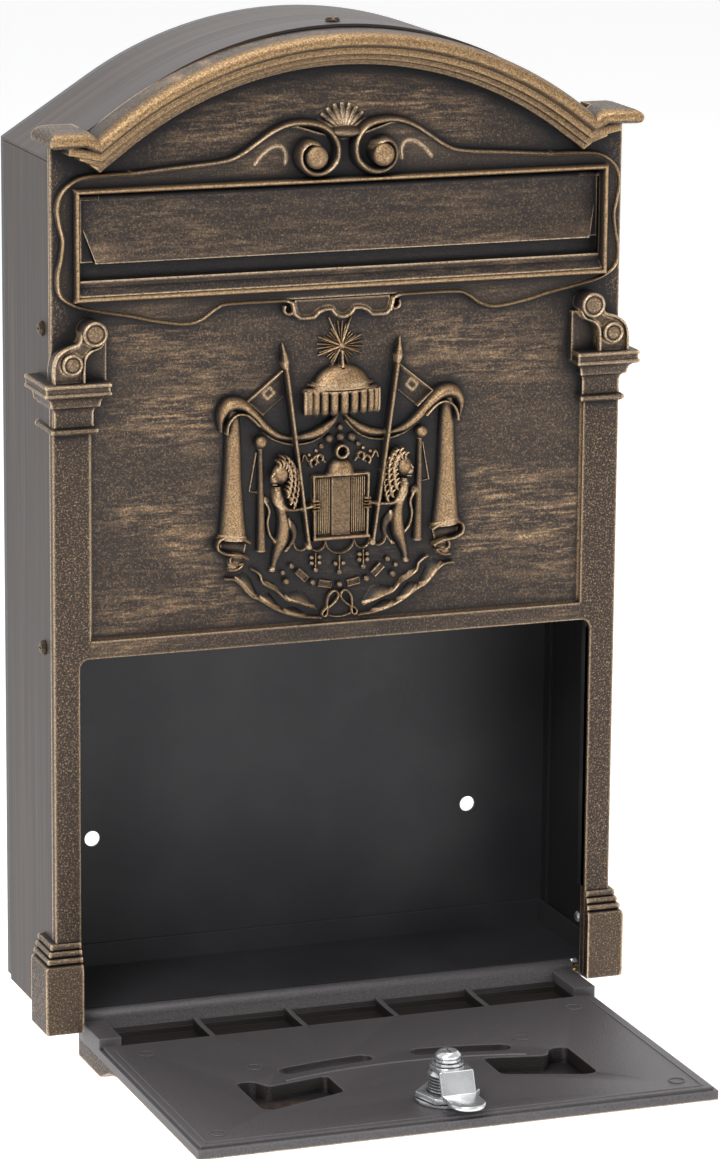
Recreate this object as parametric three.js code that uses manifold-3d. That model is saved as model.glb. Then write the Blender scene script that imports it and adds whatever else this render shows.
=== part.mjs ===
import * as THREE from "three";
import { mergeVertices } from "three/addons/utils/BufferGeometryUtils.js";
import Module from "manifold-3d";

const wasm = await Module();
wasm.setup();

// ---------------------------------------------------------------------------
// Driving dimensions, in millimetres.
// Drawing frame: x across, y from the frame of the casting (0) back to the
// wall, z up from the lower edge of the body.
// ---------------------------------------------------------------------------
const DEPTH = 70; // frame of the casting to the wall
const MOUNT_HEIGHT = 177.5; // middle of the wall screw pattern, the origin on the wall face
const GAP = 0.3; // running and seating clearance between pieces

// Sheet body
const SHEET = 1; // sheet thickness
const BODY_HALF = 122.2; // half width over the side walls
const BODY_FOOT = -2; // lower edge of the side walls
const ROOF_TOP = 404;
const ROOF_RADIUS = 158;
const ROOF_SLOPE = THREE.MathUtils.degToRad(33); // straight shoulders of the roof
const SEAM = 354; // roof sheet meets side wall
const SHEET_FRONT = 4.3; // front edges of the sheets
const RIM = 4.2; // depth of the back panel's rim
const LAP = 8; // overlap strips inside the seams

// Face casting
const CAST_HALF = 122.4;
const FIELD = 1.5; // recessed fields of the casting
const FRAME = -0.5; // proud frame round the fields
const CAST_BACK = 4; // back of the plate
const RETURN = 18; // flange inside the sheets
const WRAP = 15; // ears, capitals and plinths reach this far back
const CROWN = 402.5; // top of the cornice
const CROWN_RADIUS = 168;
const EAR_TOP = 367;
const VALLEY_X = 106; // arch runs into the ears
const CORNICE = [
  // depth below the crown line from and to, front face, half width of the ears
  [0, 6.4, -12.4, 126],
  [6.2, 9.2, -9.5, 117.5],
  [9, 11.8, -7, 112],
  [11.6, 14.2, -4.5, 106.7],
];
const DOORWAY = { half: 111.4, top: 151.5, corner: 4, flange: 8.3, lip: 2.2 };
const FIELD_PANEL = { half: 106.6, low: 158.9, high: 296 };
const SLOT = { half: 104, low: 315, high: 341.4 };
const SLOT_FRAME = { half: 114.1, low: 298.2, high: 343.7, bead: 2.4, front: -5.9 };
const PLAQUE_FRONT = -2.8;

// Letter flap
const FLAP_AXIS = { y: 1.2, z: 338.8 };
const FLAP = { half: 110.6, knuckle: 2.2, front: -0.8, back: 1, foot: 313.8, lip: -5.2, rise: 327 };
const FLAP_ROD = 1.1; // radius
const FLAP_ROD_HALF = 116;

// Door, drawn dropped open
const DOOR_AXIS = { y: 9.5, z: -3.75 };
const DOOR_HALF = 109.5;
const DOOR_END = -145; // free edge
const DOOR_FACE = -12.4; // outer face
const DOOR_RIM = -8.4; // inner side of the rim
const DOOR_PANEL = -7.2; // inner side of the panel
const DOOR_PIN = 1.9; // radius
const RIB_X = [-60.6, -20.2, 20.2, 60.6];
const TROUGH = { half: 100, floor: -11.8, front: -18.5, back: 3.5 };
const VIEW_SLOT = { near: 8.5, far: 50, start: -60.2, width: 8.6, radius: 183 };

// Cam lock, on the door
const LOCK = { x: 2, y: -122.8, barrel: 7.9, plug: 6, nut: 22.5, washer: 13, flange: 10.5 };
const CAM = { width: 14.5, thick: 1.8, top: 7.5, fold: -132.4, heel: -136, tip: -151.5 };

// ---------------------------------------------------------------------------
// Geometry helpers
// ---------------------------------------------------------------------------
const SEGMENTS = 16;
const TIDY = 0.01; // edges shorter than this are merged away

function toSolid(geometry) {
  const bare = geometry.index ? geometry.toNonIndexed() : geometry.clone();
  bare.deleteAttribute("normal");
  bare.deleteAttribute("uv");
  const merged = mergeVertices(bare, 1e-4);
  return new wasm.Manifold(
    new wasm.Mesh({
      numProp: 3,
      vertProperties: merged.attributes.position.array,
      triVerts: new Uint32Array(merged.index.array),
    }),
  );
}

function toGeometry(solid) {
  const { numProp, numVert, vertProperties, triVerts } = solid.simplify(TIDY).getMesh();
  const positions = new Float32Array(numVert * 3);
  for (let i = 0; i < numVert; i++) {
    positions.set(vertProperties.subarray(i * numProp, i * numProp + 3), i * 3);
  }
  const geometry = new THREE.BufferGeometry();
  geometry.setAttribute("position", new THREE.BufferAttribute(positions, 3));
  geometry.setIndex(new THREE.BufferAttribute(triVerts, 1));
  const flat = geometry.toNonIndexed();
  flat.computeVertexNormals();
  return flat;
}

const join = (...solids) => solids.reduce((sum, solid) => sum.add(solid));
const cut = (body, ...tools) => tools.reduce((rest, tool) => rest.subtract(tool), body);

// A closed outline from [a, b] corner pairs.
function outline(points) {
  return new THREE.Shape(points.map(([a, b]) => new THREE.Vector2(a, b)));
}

// An outline in x and z, solid from y0 to y1.
function slab(shape, y0, y1, curveSegments = SEGMENTS) {
  const geometry = new THREE.ExtrudeGeometry(shape, {
    depth: y1 - y0,
    bevelEnabled: false,
    curveSegments,
  });
  return toSolid(geometry.rotateX(Math.PI / 2).translate(0, y1, 0));
}

// An outline in y and z, solid from x0 to x1.
const ALONG_X = new THREE.Matrix4().makeBasis(
  new THREE.Vector3(0, 1, 0),
  new THREE.Vector3(0, 0, 1),
  new THREE.Vector3(1, 0, 0),
);
function bar(shape, x0, x1, curveSegments = SEGMENTS) {
  const geometry = new THREE.ExtrudeGeometry(shape, {
    depth: x1 - x0,
    bevelEnabled: false,
    curveSegments,
  });
  return toSolid(geometry.applyMatrix4(ALONG_X).translate(x0, 0, 0));
}

// An outline in x and y, solid from z0 to z1.
function plate(shape, z0, z1, curveSegments = SEGMENTS) {
  const geometry = new THREE.ExtrudeGeometry(shape, {
    depth: z1 - z0,
    bevelEnabled: false,
    curveSegments,
  });
  return toSolid(geometry.translate(0, 0, z0));
}

function block(x0, x1, y0, y1, z0, z1) {
  const geometry = new THREE.BoxGeometry(x1 - x0, y1 - y0, z1 - z0);
  return toSolid(geometry.translate((x0 + x1) / 2, (y0 + y1) / 2, (z0 + z1) / 2));
}

// A round bar from one point to another along an axis.
function rod(axis, radius, from, to, centre, sides = SEGMENTS) {
  const geometry = new THREE.CylinderGeometry(radius, radius, to - from, sides);
  const middle = (from + to) / 2;
  if (axis === "x") geometry.rotateZ(-Math.PI / 2).translate(middle, centre[0], centre[1]);
  if (axis === "y") geometry.translate(centre[0], middle, centre[1]);
  if (axis === "z") geometry.rotateX(Math.PI / 2).translate(centre[0], centre[1], middle);
  return toSolid(geometry);
}

// A turned piece about a vertical axis, from [radius, z] pairs on its profile.
function turned(profile, x, y, sides = SEGMENTS) {
  const points = profile.map(([r, z]) => new THREE.Vector2(r, z));
  const geometry = new THREE.LatheGeometry(points, sides);
  return toSolid(geometry.rotateX(Math.PI / 2).translate(x, y, 0));
}

const bothSides = (make) => join(make(-1), make(1));

// Block given by distances from the middle, on one side of it.
function sideBlock(side, near, far, y0, y1, z0, z1) {
  return side > 0 ? block(near, far, y0, y1, z0, z1) : block(-far, -near, y0, y1, z0, z1);
}

// ---------------------------------------------------------------------------
// Outline of the sheet body, moved inwards by inset
// ---------------------------------------------------------------------------
function bodyOutline(inset, foot) {
  const half = BODY_HALF - inset;
  const radius = ROOF_RADIUS - inset;
  const centre = ROOF_TOP - ROOF_RADIUS;
  const touchX = radius * Math.sin(ROOF_SLOPE);
  const touchZ = centre + radius * Math.cos(ROOF_SLOPE);
  const eaves = touchZ - (half - touchX) * Math.tan(ROOF_SLOPE);
  const shape = new THREE.Shape();
  shape.moveTo(-half, foot);
  shape.lineTo(half, foot);
  shape.lineTo(half, eaves);
  shape.lineTo(touchX, touchZ);
  shape.absarc(0, centre, radius, Math.PI / 2 - ROOF_SLOPE, Math.PI / 2 + ROOF_SLOPE, false);
  shape.lineTo(-half, eaves);
  shape.closePath();
  return shape;
}

function bodyRing(outer, inner, y0, y1, foot) {
  return cut(
    slab(bodyOutline(outer, foot), y0, y1),
    slab(bodyOutline(inner, foot - 20), y0 - 1, y1 + 1),
  );
}

const below = (z) => block(-200, 200, -100, 100, -100, z);

// ---------------------------------------------------------------------------
// Face casting
// ---------------------------------------------------------------------------
function crownLine(shape, drop, earHalf, reverse) {
  const radius = CROWN_RADIUS - drop;
  const centre = CROWN - CROWN_RADIUS;
  const angle = Math.asin(VALLEY_X / CROWN_RADIUS);
  const valleyX = radius * Math.sin(angle);
  const valleyZ = centre + radius * Math.cos(angle);
  const shoulder = valleyX + (EAR_TOP - drop - valleyZ) * 1.4;
  if (reverse) {
    shape.lineTo(-earHalf, EAR_TOP - drop);
    if (shoulder < earHalf) shape.lineTo(-shoulder, EAR_TOP - drop);
    shape.lineTo(-valleyX, valleyZ);
    shape.absarc(0, centre, radius, Math.PI / 2 + angle, Math.PI / 2 - angle, true);
    if (shoulder < earHalf) shape.lineTo(shoulder, EAR_TOP - drop);
    shape.lineTo(earHalf, EAR_TOP - drop);
    return;
  }
  shape.lineTo(earHalf, EAR_TOP - drop);
  if (shoulder < earHalf) shape.lineTo(shoulder, EAR_TOP - drop);
  shape.lineTo(valleyX, valleyZ);
  shape.absarc(0, centre, radius, Math.PI / 2 - angle, Math.PI / 2 + angle, false);
  if (shoulder < earHalf) shape.lineTo(-shoulder, EAR_TOP - drop);
  shape.lineTo(-earHalf, EAR_TOP - drop);
}

function corniceBand(from, to, earHalf) {
  const shape = new THREE.Shape();
  shape.moveTo(earHalf, EAR_TOP - to);
  crownLine(shape, from, earHalf, false);
  crownLine(shape, to, earHalf, true);
  return shape;
}

function castOutline() {
  const shape = new THREE.Shape();
  shape.moveTo(-CAST_HALF, -5);
  shape.lineTo(CAST_HALF, -5);
  crownLine(shape, 2, CAST_HALF, false);
  shape.closePath();
  return shape;
}

function archedHole(half, low, high, corner) {
  const shape = new THREE.Shape();
  shape.moveTo(-half, low);
  shape.lineTo(half, low);
  shape.lineTo(half, high - corner);
  shape.absarc(half - corner, high - corner, corner, 0, Math.PI / 2, false);
  shape.absarc(-half + corner, high - corner, corner, Math.PI / 2, Math.PI, false);
  shape.closePath();
  return shape;
}

// Wavy raised surround of the letter slot, with its crest scrolls and apron.
function plaqueOutline() {
  const right = [
    [120, 337],
    [117.8, 323],
    [120.2, 308],
    [113, 297],
    [90, 291.5],
    [66, 287.6],
    [52, 293.6],
    [22, 294],
    [20.5, 286.8],
    [9, 286.8],
  ];
  const top = [
    [112, 348.6],
    [52, 351],
    [34, 360.5],
    [21, 365.6],
    [8, 361.5],
    [5, 353.8],
    [8, 347],
  ];
  const shape = new THREE.Shape();
  shape.moveTo(0, 347);
  shape.splineThru(top.toReversed().map(([x, z]) => new THREE.Vector2(x, z)));
  shape.splineThru(right.map(([x, z]) => new THREE.Vector2(x, z)));
  shape.lineTo(-9, 286.8);
  shape.splineThru(right.toReversed().slice(1).map(([x, z]) => new THREE.Vector2(-x, z)));
  shape.splineThru(top.map(([x, z]) => new THREE.Vector2(-x, z)));
  shape.closePath();
  return shape;
}

function slotSurround() {
  const { half, low, high, bead, front } = SLOT_FRAME;
  const ring = cut(
    block(-half, half, front, CAST_BACK, low, high),
    block(-half + bead, half - bead, front - 1, CAST_BACK + 1, low + bead, high - bead),
  );
  return join(slab(plaqueOutline(), PLAQUE_FRONT, CAST_BACK, 4), ring);
}

// Capitals, plinths and scroll brackets of the two pilasters.
function pilasterDress(side) {
  const courses = [
    // near, far, front, back, low, high
    [111.6, 127.7, -4.3, WRAP, -5.1, 23.6],
    [112.2, 126.6, -3.4, WRAP - 1, 23.4, 27],
    [112.8, 125.4, -2.6, WRAP - 2, 26.8, 30],
    [113.4, 124.2, -1.8, WRAP - 3, 29.8, 33],
    [103.5, 124.3, -5, WRAP - 2, 244, 247.5],
    [105.5, 123.2, -3.5, WRAP - 3, 247.3, 256],
    [103.2, 125, -6, WRAP - 1, 255.8, 261.4],
    [100.4, 127.7, -9, WRAP + 1, 261.2, 266.4],
    [100.4, 122.4, -1.5, FIELD + 1, 266.2, 294],
  ];
  const stack = courses.map(([near, far, front, back, low, high]) =>
    sideBlock(side, near, far, front, back, low, high),
  );
  const upper = rod("y", 5.2, -9.7, FIELD + 1, [side * 106.9, 285.9]);
  const lower = rod("y", 5.2, -9, FIELD + 1, [side * 115.6, 274.4]);
  return join(...stack, upper, lower);
}

function faceCasting() {
  const { half, low, high } = FIELD_PANEL;
  const sheetFace = slab(castOutline(), FIELD, CAST_BACK);
  const frame = cut(
    slab(castOutline(), FRAME, CAST_BACK),
    block(-half, half, FRAME - 1, FIELD, low, high),
    block(-200, 200, FRAME - 1, FIELD, high - 1, 500),
  );
  const mouldings = CORNICE.map(([from, to, front, earHalf]) =>
    slab(corniceBand(from, to, earHalf), front, earHalf > CAST_HALF ? WRAP : CAST_BACK),
  );
  const dressing = join(...mouldings, bothSides(pilasterDress));
  const envelope = slab(bodyOutline(-GAP, BODY_FOOT - GAP), CAST_BACK, DEPTH);
  const flange = cut(
    bodyRing(SHEET + GAP, SHEET + GAP + 2.2, CAST_BACK - 1, RETURN, 34),
    below(34),
  );
  const jambs = slab(
    archedHole(DOORWAY.half + DOORWAY.lip, 34, DOORWAY.top + DOORWAY.lip, DOORWAY.corner),
    CAST_BACK - 1,
    DOORWAY.flange,
  );
  const lugs = bothSides((side) =>
    side > 0
      ? rod("x", 4, DOORWAY.half + GAP, 118, [DOOR_AXIS.y, DOOR_AXIS.z])
      : rod("x", 4, -118, -DOORWAY.half - GAP, [DOOR_AXIS.y, DOOR_AXIS.z]),
  );
  const cheeks = bothSides((side) =>
    sideBlock(side, DOORWAY.half, DOORWAY.half + DOORWAY.lip, 0, CAST_BACK + 4, -4, 34),
  );
  const rodSeats = bothSides((side) =>
    sideBlock(side, SLOT_FRAME.half - 2.2, 117.4, 0, 6.5, 334, 343),
  );
  const whole = join(
    sheetFace,
    frame,
    cut(dressing, envelope),
    flange,
    jambs,
    lugs,
    cheeks,
    rodSeats,
    slotSurround(),
  );
  const slotMouth = block(
    -SLOT_FRAME.half + SLOT_FRAME.bead,
    SLOT_FRAME.half - SLOT_FRAME.bead,
    -20,
    FIELD,
    SLOT_FRAME.low + SLOT_FRAME.bead,
    SLOT_FRAME.high - SLOT_FRAME.bead,
  );
  const sill = bar(
    outline([
      [PLAQUE_FRONT - 1.5, 300.4],
      [FIELD + 1, 300.4],
      [FIELD + 1, 306.5],
      [FIELD, 306.5],
    ]),
    -SLOT_FRAME.half + 1,
    SLOT_FRAME.half - 1,
  );
  const hollow = cut(
    whole,
    slab(archedHole(DOORWAY.half, -30, DOORWAY.top, DOORWAY.corner), -30, DOORWAY.flange + 1),
    slotMouth,
    block(-SLOT.half, SLOT.half, -20, 40, SLOT.low, SLOT.high),
    block(-FLAP.half - GAP, FLAP.half + GAP, -1, 3.8, 335.5, SLOT.high),
  );
  return cut(
    join(hollow, sill),
    rod("x", FLAP_ROD + 0.15, -FLAP_ROD_HALF - GAP, FLAP_ROD_HALF + GAP,
      [FLAP_AXIS.y, FLAP_AXIS.z]),
    rod("x", DOOR_PIN + 0.1, -116.5, 116.5, [DOOR_AXIS.y, DOOR_AXIS.z]),
    ...screwHoles(0.1),
    ...jambHoles(0.1),
  );
}

// ---------------------------------------------------------------------------
// Fasteners
// ---------------------------------------------------------------------------
const SCREW = { head: 3.1, height: 1.7, shank: 1.4, length: 6 };
const SIDE_SCREWS = [
  { name: "left_upper", side: -1, z: 285.8 },
  { name: "left_lower", side: -1, z: 154.6 },
  { name: "right_upper", side: 1, z: 285.8 },
  { name: "right_lower", side: 1, z: 154.6 },
];
const SIDE_SCREW_Y = 13.3;
const JAMB = { y: 5.4, z: 20, head: 2.3, shank: 1.3 };

// Dome-headed screw with a cross slot, its head seated at z = 0 facing +z.
function screwShape({ head, height, shank, length }) {
  const dome = turned(
    [
      [0, -length],
      [shank, -length],
      [shank, 0.01],
      [head, 0.01],
      [head, height * 0.35],
      [head * 0.72, height * 0.85],
      [0, height],
    ],
    0,
    0,
    14,
  );
  const slot = head * 0.55;
  const cross = join(
    block(-slot, slot, -0.35, 0.35, height * 0.45, height + 1),
    block(-0.35, 0.35, -slot, slot, height * 0.45, height + 1),
  );
  return cut(dome, cross);
}

function screwHoles(clearance) {
  const sides = SIDE_SCREWS.map(({ side, z }) =>
    rod("x", SCREW.shank + clearance, side > 0 ? 110 : -130, side > 0 ? 130 : -110,
      [SIDE_SCREW_Y, z]),
  );
  return [...sides, rod("z", SCREW.shank + clearance, 385, 420, [0, SIDE_SCREW_Y])];
}

function jambHoles(clearance) {
  return [-1, 1].map((side) =>
    rod("x", JAMB.shank + clearance, side > 0 ? 110 : -115.5, side > 0 ? 115.5 : -110,
      [JAMB.y, JAMB.z]),
  );
}

// ---------------------------------------------------------------------------
// Sheet body
// ---------------------------------------------------------------------------
const SHEET_BACK = DEPTH - RIM - GAP; // rear edges of the walls and the roof
const INNER = SHEET + GAP; // strips that lap behind another sheet

function sideWall(side) {
  const lapped = BODY_HALF - INNER;
  const wall = join(
    sideBlock(side, BODY_HALF - SHEET, BODY_HALF, SHEET_FRONT, SHEET_BACK, BODY_FOOT, SEAM - GAP),
    sideBlock(side, lapped - SHEET, BODY_HALF, SHEET_BACK - 3, SHEET_BACK, BODY_FOOT, SEAM - LAP - 1),
    sideBlock(side, lapped - SHEET, lapped, SHEET_BACK - 3, DEPTH - SHEET - GAP, 1, SEAM - LAP - 1),
  );
  return cut(wall, ...screwHoles(0.2));
}

function roofSheet() {
  const sheet = cut(
    bodyRing(0, SHEET, SHEET_FRONT, SHEET_BACK, 300),
    below(SEAM),
  );
  const laps = bothSides((side) =>
    join(
      sideBlock(side, BODY_HALF - INNER - SHEET, BODY_HALF - INNER, 24, 60, SEAM - LAP, SEAM + 1),
      sideBlock(side, BODY_HALF - INNER - SHEET, BODY_HALF - 0.5, 24, 60, SEAM, SEAM + 1),
    ),
  );
  return cut(join(sheet, laps), ...screwHoles(0.2));
}

// Back panel with a rim round its sides and top, and four holes for wall screws.
const WALL_HOLES = [
  [-85, 55],
  [85, 55],
  [-85, 300],
  [85, 300],
];
const WALL_HOLE = 3.4; // radius

function backPanel() {
  const panel = slab(bodyOutline(0, 0), DEPTH - SHEET, DEPTH);
  const rim = cut(bodyRing(0, SHEET, DEPTH - RIM, DEPTH, 0), below(0));
  const holes = WALL_HOLES.map(([x, z]) => rod("y", WALL_HOLE, 60, 80, [x, z]));
  return cut(join(panel, rim), ...holes);
}

function floorPanel() {
  const edge = BODY_HALF - INNER - SHEET - GAP;
  const tray = join(
    block(-edge, edge, 14.6, DEPTH - SHEET - GAP, BODY_FOOT + 0.2, BODY_FOOT + 0.2 + SHEET),
    ...[-1, 1].map((side) =>
      sideBlock(side, edge - SHEET, edge, 19, DEPTH - SHEET - GAP, BODY_FOOT + 0.2, 9),
    ),
    block(-edge, edge, DEPTH - 2 * SHEET - GAP, DEPTH - SHEET - GAP, BODY_FOOT + 0.2, 9),
  );
  return tray;
}

// ---------------------------------------------------------------------------
// Letter flap
// ---------------------------------------------------------------------------
function letterFlap() {
  const { half, knuckle, front, back, foot, lip, rise } = FLAP;
  const leaf = block(-half, half, front, back, foot, FLAP_AXIS.z);
  const barrel = rod("x", knuckle, -SLOT.half + 1, SLOT.half - 1, [FLAP_AXIS.y, FLAP_AXIS.z]);
  const ends = bothSides((side) =>
    side > 0
      ? rod("x", 1.9, SLOT.half - 2, half, [FLAP_AXIS.y, FLAP_AXIS.z])
      : rod("x", 1.9, -half, -SLOT.half + 2, [FLAP_AXIS.y, FLAP_AXIS.z]),
  );
  const wedge = bar(
    outline([
      [front + 0.5, rise],
      [front, rise],
      [lip, foot + 1.6],
      [lip, foot],
      [front + 0.5, foot],
    ]),
    -half,
    half,
  );
  const bevel = slab(
    outline([
      [-half + 1, rise],
      [-half + 5, foot],
      [half - 5, foot],
      [half - 1, rise],
    ]),
    lip - 1,
    back,
  );
  const body = join(leaf, barrel, ends, wedge.intersect(bevel));
  const bore = rod("x", FLAP_ROD + 0.12, -half - 1, half + 1, [FLAP_AXIS.y, FLAP_AXIS.z]);
  return cut(body, bore);
}

// ---------------------------------------------------------------------------
// Door
// ---------------------------------------------------------------------------
function viewSlot(side) {
  const { near, far, start, width, radius } = VIEW_SLOT;
  const steps = 12;
  const centreLine = [];
  for (let i = 0; i <= steps; i++) {
    const x = near + width / 2 + ((far - near - width) * i) / steps;
    centreLine.push([x, start - width / 2 - (x * x) / (2 * radius)]);
  }
  const shape = new THREE.Shape();
  const reach = width / 2;
  const first = centreLine[0];
  const last = centreLine[steps];
  shape.absarc(first[0], first[1], reach, Math.PI / 2, (Math.PI * 3) / 2, false);
  centreLine.forEach(([x, y]) => shape.lineTo(x, y - reach));
  shape.absarc(last[0], last[1], reach, -Math.PI / 2, Math.PI / 2, false);
  centreLine.toReversed().forEach(([x, y]) => shape.lineTo(x, y + reach));
  const mirrored = side > 0 ? shape : mirror(shape);
  return plate(mirrored, -30, 10, 8);
}

function mirror(shape) {
  return outline(
    shape
      .getPoints(8)
      .map(({ x, y }) => [-x, y])
      .toReversed(),
  );
}

// Hollow behind the raised work of the outer face, beside the lock.
function pocketOutline(side) {
  const corners = [
    [33.5, -80.5],
    [60, -86],
    [64, -78],
    [71.5, -78],
    [71.5, -111],
    [67, -113],
    [33.5, -101.5],
  ];
  const points = corners.map(([x, y]) => [side * x, y]);
  return outline(side > 0 ? points.toReversed() : points);
}

function doorLeaf() {
  const profile = new THREE.Shape();
  profile.moveTo(DOOR_END, DOOR_FACE);
  profile.lineTo(-42, DOOR_FACE);
  profile.lineTo(-31, -14.6);
  profile.lineTo(-21, -19);
  profile.lineTo(-18.5, -19.6);
  profile.lineTo(10.5, -19.6);
  profile.lineTo(10.5, -7.6);
  profile.absarc(DOOR_AXIS.y, DOOR_AXIS.z, 3.9, -1.3, Math.PI, false);
  profile.lineTo(TROUGH.back + 0.8, -9.5);
  profile.lineTo(-6, DOOR_RIM);
  profile.lineTo(DOOR_END, DOOR_RIM);
  profile.closePath();
  const leaf = bar(profile, -DOOR_HALF, DOOR_HALF, 10);
  const panel = block(-108, 108, DOOR_END + 1.5, -16, DOOR_RIM - 0.5, DOOR_PANEL);
  const endBlocks = bothSides((side) =>
    sideBlock(side, TROUGH.half, DOOR_HALF, -18, 9, -12, DOOR_AXIS.z),
  );
  const badge = plate(
    outline([
      [-78, -118],
      [78, -118],
      [78, -74],
      [-78, -74],
    ]),
    DOOR_FACE - 3.6,
    DOOR_FACE + 0.5,
  );
  const trough = block(
    -TROUGH.half,
    TROUGH.half,
    TROUGH.front,
    TROUGH.back,
    TROUGH.floor,
    5,
  );
  const ribs = RIB_X.map((x) =>
    bar(
      outline([
        [-20, DOOR_PANEL],
        [-20, -13],
        [5, -13],
        [5, -6.5],
        [-5, DOOR_PANEL],
      ]),
      x - 1.1,
      x + 1.1,
    ),
  );
  const shell = cut(join(leaf, panel, endBlocks, badge), trough);
  const whole = join(shell, ...ribs);
  return cut(
    whole,
    viewSlot(-1),
    viewSlot(1),
    plate(pocketOutline(-1), DOOR_FACE - 1.6, 0),
    plate(pocketOutline(1), DOOR_FACE - 1.6, 0),
    rod("z", LOCK.barrel + 0.2, -30, 10, [LOCK.x, LOCK.y], 32),
    rod("z", LOCK.flange + 0.4, -30, DOOR_FACE, [LOCK.x, LOCK.y], 32),
    rod("x", DOOR_PIN + 0.1, -DOOR_HALF - 1, -98, [DOOR_AXIS.y, DOOR_AXIS.z]),
    rod("x", DOOR_PIN + 0.1, 98, DOOR_HALF + 1, [DOOR_AXIS.y, DOOR_AXIS.z]),
  );
}

// ---------------------------------------------------------------------------
// Cam lock
// ---------------------------------------------------------------------------
const NUT_LOW = DOOR_PANEL + 1.4;
const NUT_HIGH = NUT_LOW + 2.4;
const CAM_FOOT = CAM.top - CAM.thick; // underside of the cam's upper plate
const TOE = NUT_HIGH + GAP; // underside of the cam's toe

function lockBarrel() {
  const { x, y, barrel, plug, flange } = LOCK;
  const bore = plug + 0.15;
  return turned(
    [
      [bore, DOOR_FACE - 2.4],
      [flange, DOOR_FACE - 2.4],
      [flange, DOOR_FACE - GAP],
      [barrel, DOOR_FACE - GAP],
      [barrel, CAM_FOOT - GAP],
      [bore, CAM_FOOT - GAP],
      [bore, DOOR_FACE - 2.4],
    ],
    x,
    y,
    32,
  );
}

function lockWasher() {
  const { x, y, washer, barrel } = LOCK;
  return cut(
    rod("z", washer, DOOR_PANEL + 0.2, NUT_LOW - 0.2, [x, y], 32),
    rod("z", barrel + 0.2, -30, 10, [x, y], 32),
  );
}

function lockNut() {
  const { x, y, nut, barrel } = LOCK;
  const corner = nut / 2 / Math.cos(Math.PI / 6);
  const hexagon = Array.from({ length: 6 }, (_, i) => {
    const angle = (i / 6) * Math.PI * 2 - 0.23;
    return [x + corner * Math.cos(angle), y + corner * Math.sin(angle)];
  });
  return cut(
    plate(outline(hexagon), NUT_LOW, NUT_HIGH),
    rod("z", barrel + 0.2, -30, 10, [x, y], 32),
  );
}

function lockPlug() {
  const { x, y, plug } = LOCK;
  const body = rod("z", plug, DOOR_FACE - 2.6, CAM_FOOT - GAP, [x, y], 32);
  const shank = block(x - 2.6, x + 2.6, y - 2.6, y + 2.6, CAM_FOOT - 1, CAM.top + 0.1);
  const keyway = block(x - 0.7, x + 0.7, y - 4, y + 4, DOOR_FACE - 4, DOOR_FACE + 9);
  return cut(join(body, shank), keyway, rod("z", 1.6, 1, 20, [x, y]));
}

function lockCam() {
  const { x, y } = LOCK;
  const { width, thick, top, fold, heel, tip } = CAM;
  const half = width / 2;
  const profile = outline([
    [y + half, top],
    [y + half, CAM_FOOT],
    [fold + thick, CAM_FOOT],
    [heel + thick, TOE],
    [tip, TOE],
    [tip, TOE + thick],
    [heel, TOE + thick],
    [fold, top],
  ].toReversed());
  const plan = new THREE.Shape();
  plan.absarc(x, y, half, 0, Math.PI, false);
  plan.lineTo(x - half, heel);
  plan.absarc(x, tip + half, half, Math.PI, Math.PI * 2, false);
  plan.closePath();
  const strip = bar(profile, x - half, x + half).intersect(plate(plan, -20, 20));
  return cut(strip, block(x - 2.8, x + 2.8, y - 2.8, y + 2.8, 0, 20));
}

function camRing(outer, inner, low, high) {
  return cut(
    rod("z", outer, low, high, [LOCK.x, LOCK.y]),
    rod("z", inner, low - 1, high + 1, [LOCK.x, LOCK.y]),
  );
}

// ---------------------------------------------------------------------------
// Assembly
// ---------------------------------------------------------------------------
const finish = {
  bronze: new THREE.MeshStandardMaterial({ color: 0x5a4a38, roughness: 0.55, metalness: 0.7 }),
  sheet: new THREE.MeshStandardMaterial({ color: 0x6b625c, roughness: 0.45, metalness: 0.7 }),
  charcoal: new THREE.MeshStandardMaterial({ color: 0x3a393d, roughness: 0.6, metalness: 0.3 }),
  zinc: new THREE.MeshStandardMaterial({ color: 0xc9ced2, roughness: 0.25, metalness: 1 }),
  brass: new THREE.MeshStandardMaterial({ color: 0xa98243, roughness: 0.35, metalness: 1 }),
};

const assembly = new THREE.Group();
assembly.position.set(0, -DEPTH, -MOUNT_HEIGHT);

function addPiece(name, solid, look) {
  const piece = new THREE.Mesh(toGeometry(solid), look.clone());
  piece.name = name;
  assembly.add(piece);
  return piece;
}

addPiece("face_casting", faceCasting(), finish.bronze);
addPiece("side_wall_left", sideWall(-1), finish.sheet);
addPiece("side_wall_right", sideWall(1), finish.sheet);
addPiece("roof_sheet", roofSheet(), finish.sheet);
addPiece("back_panel", backPanel(), finish.sheet);
addPiece("floor_panel", floorPanel(), finish.charcoal);
addPiece("letter_flap", letterFlap(), finish.bronze);
addPiece(
  "flap_rod",
  rod("x", FLAP_ROD, -FLAP_ROD_HALF, FLAP_ROD_HALF, [FLAP_AXIS.y, FLAP_AXIS.z], 16),
  finish.zinc,
);
addPiece("door_leaf", doorLeaf(), finish.bronze);
for (const [name, from, to] of [
  ["door_pin_left", -116, -99],
  ["door_pin_right", 99, 116],
]) {
  addPiece(name, rod("x", DOOR_PIN, from, to, [DOOR_AXIS.y, DOOR_AXIS.z], 20), finish.brass);
}

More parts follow.
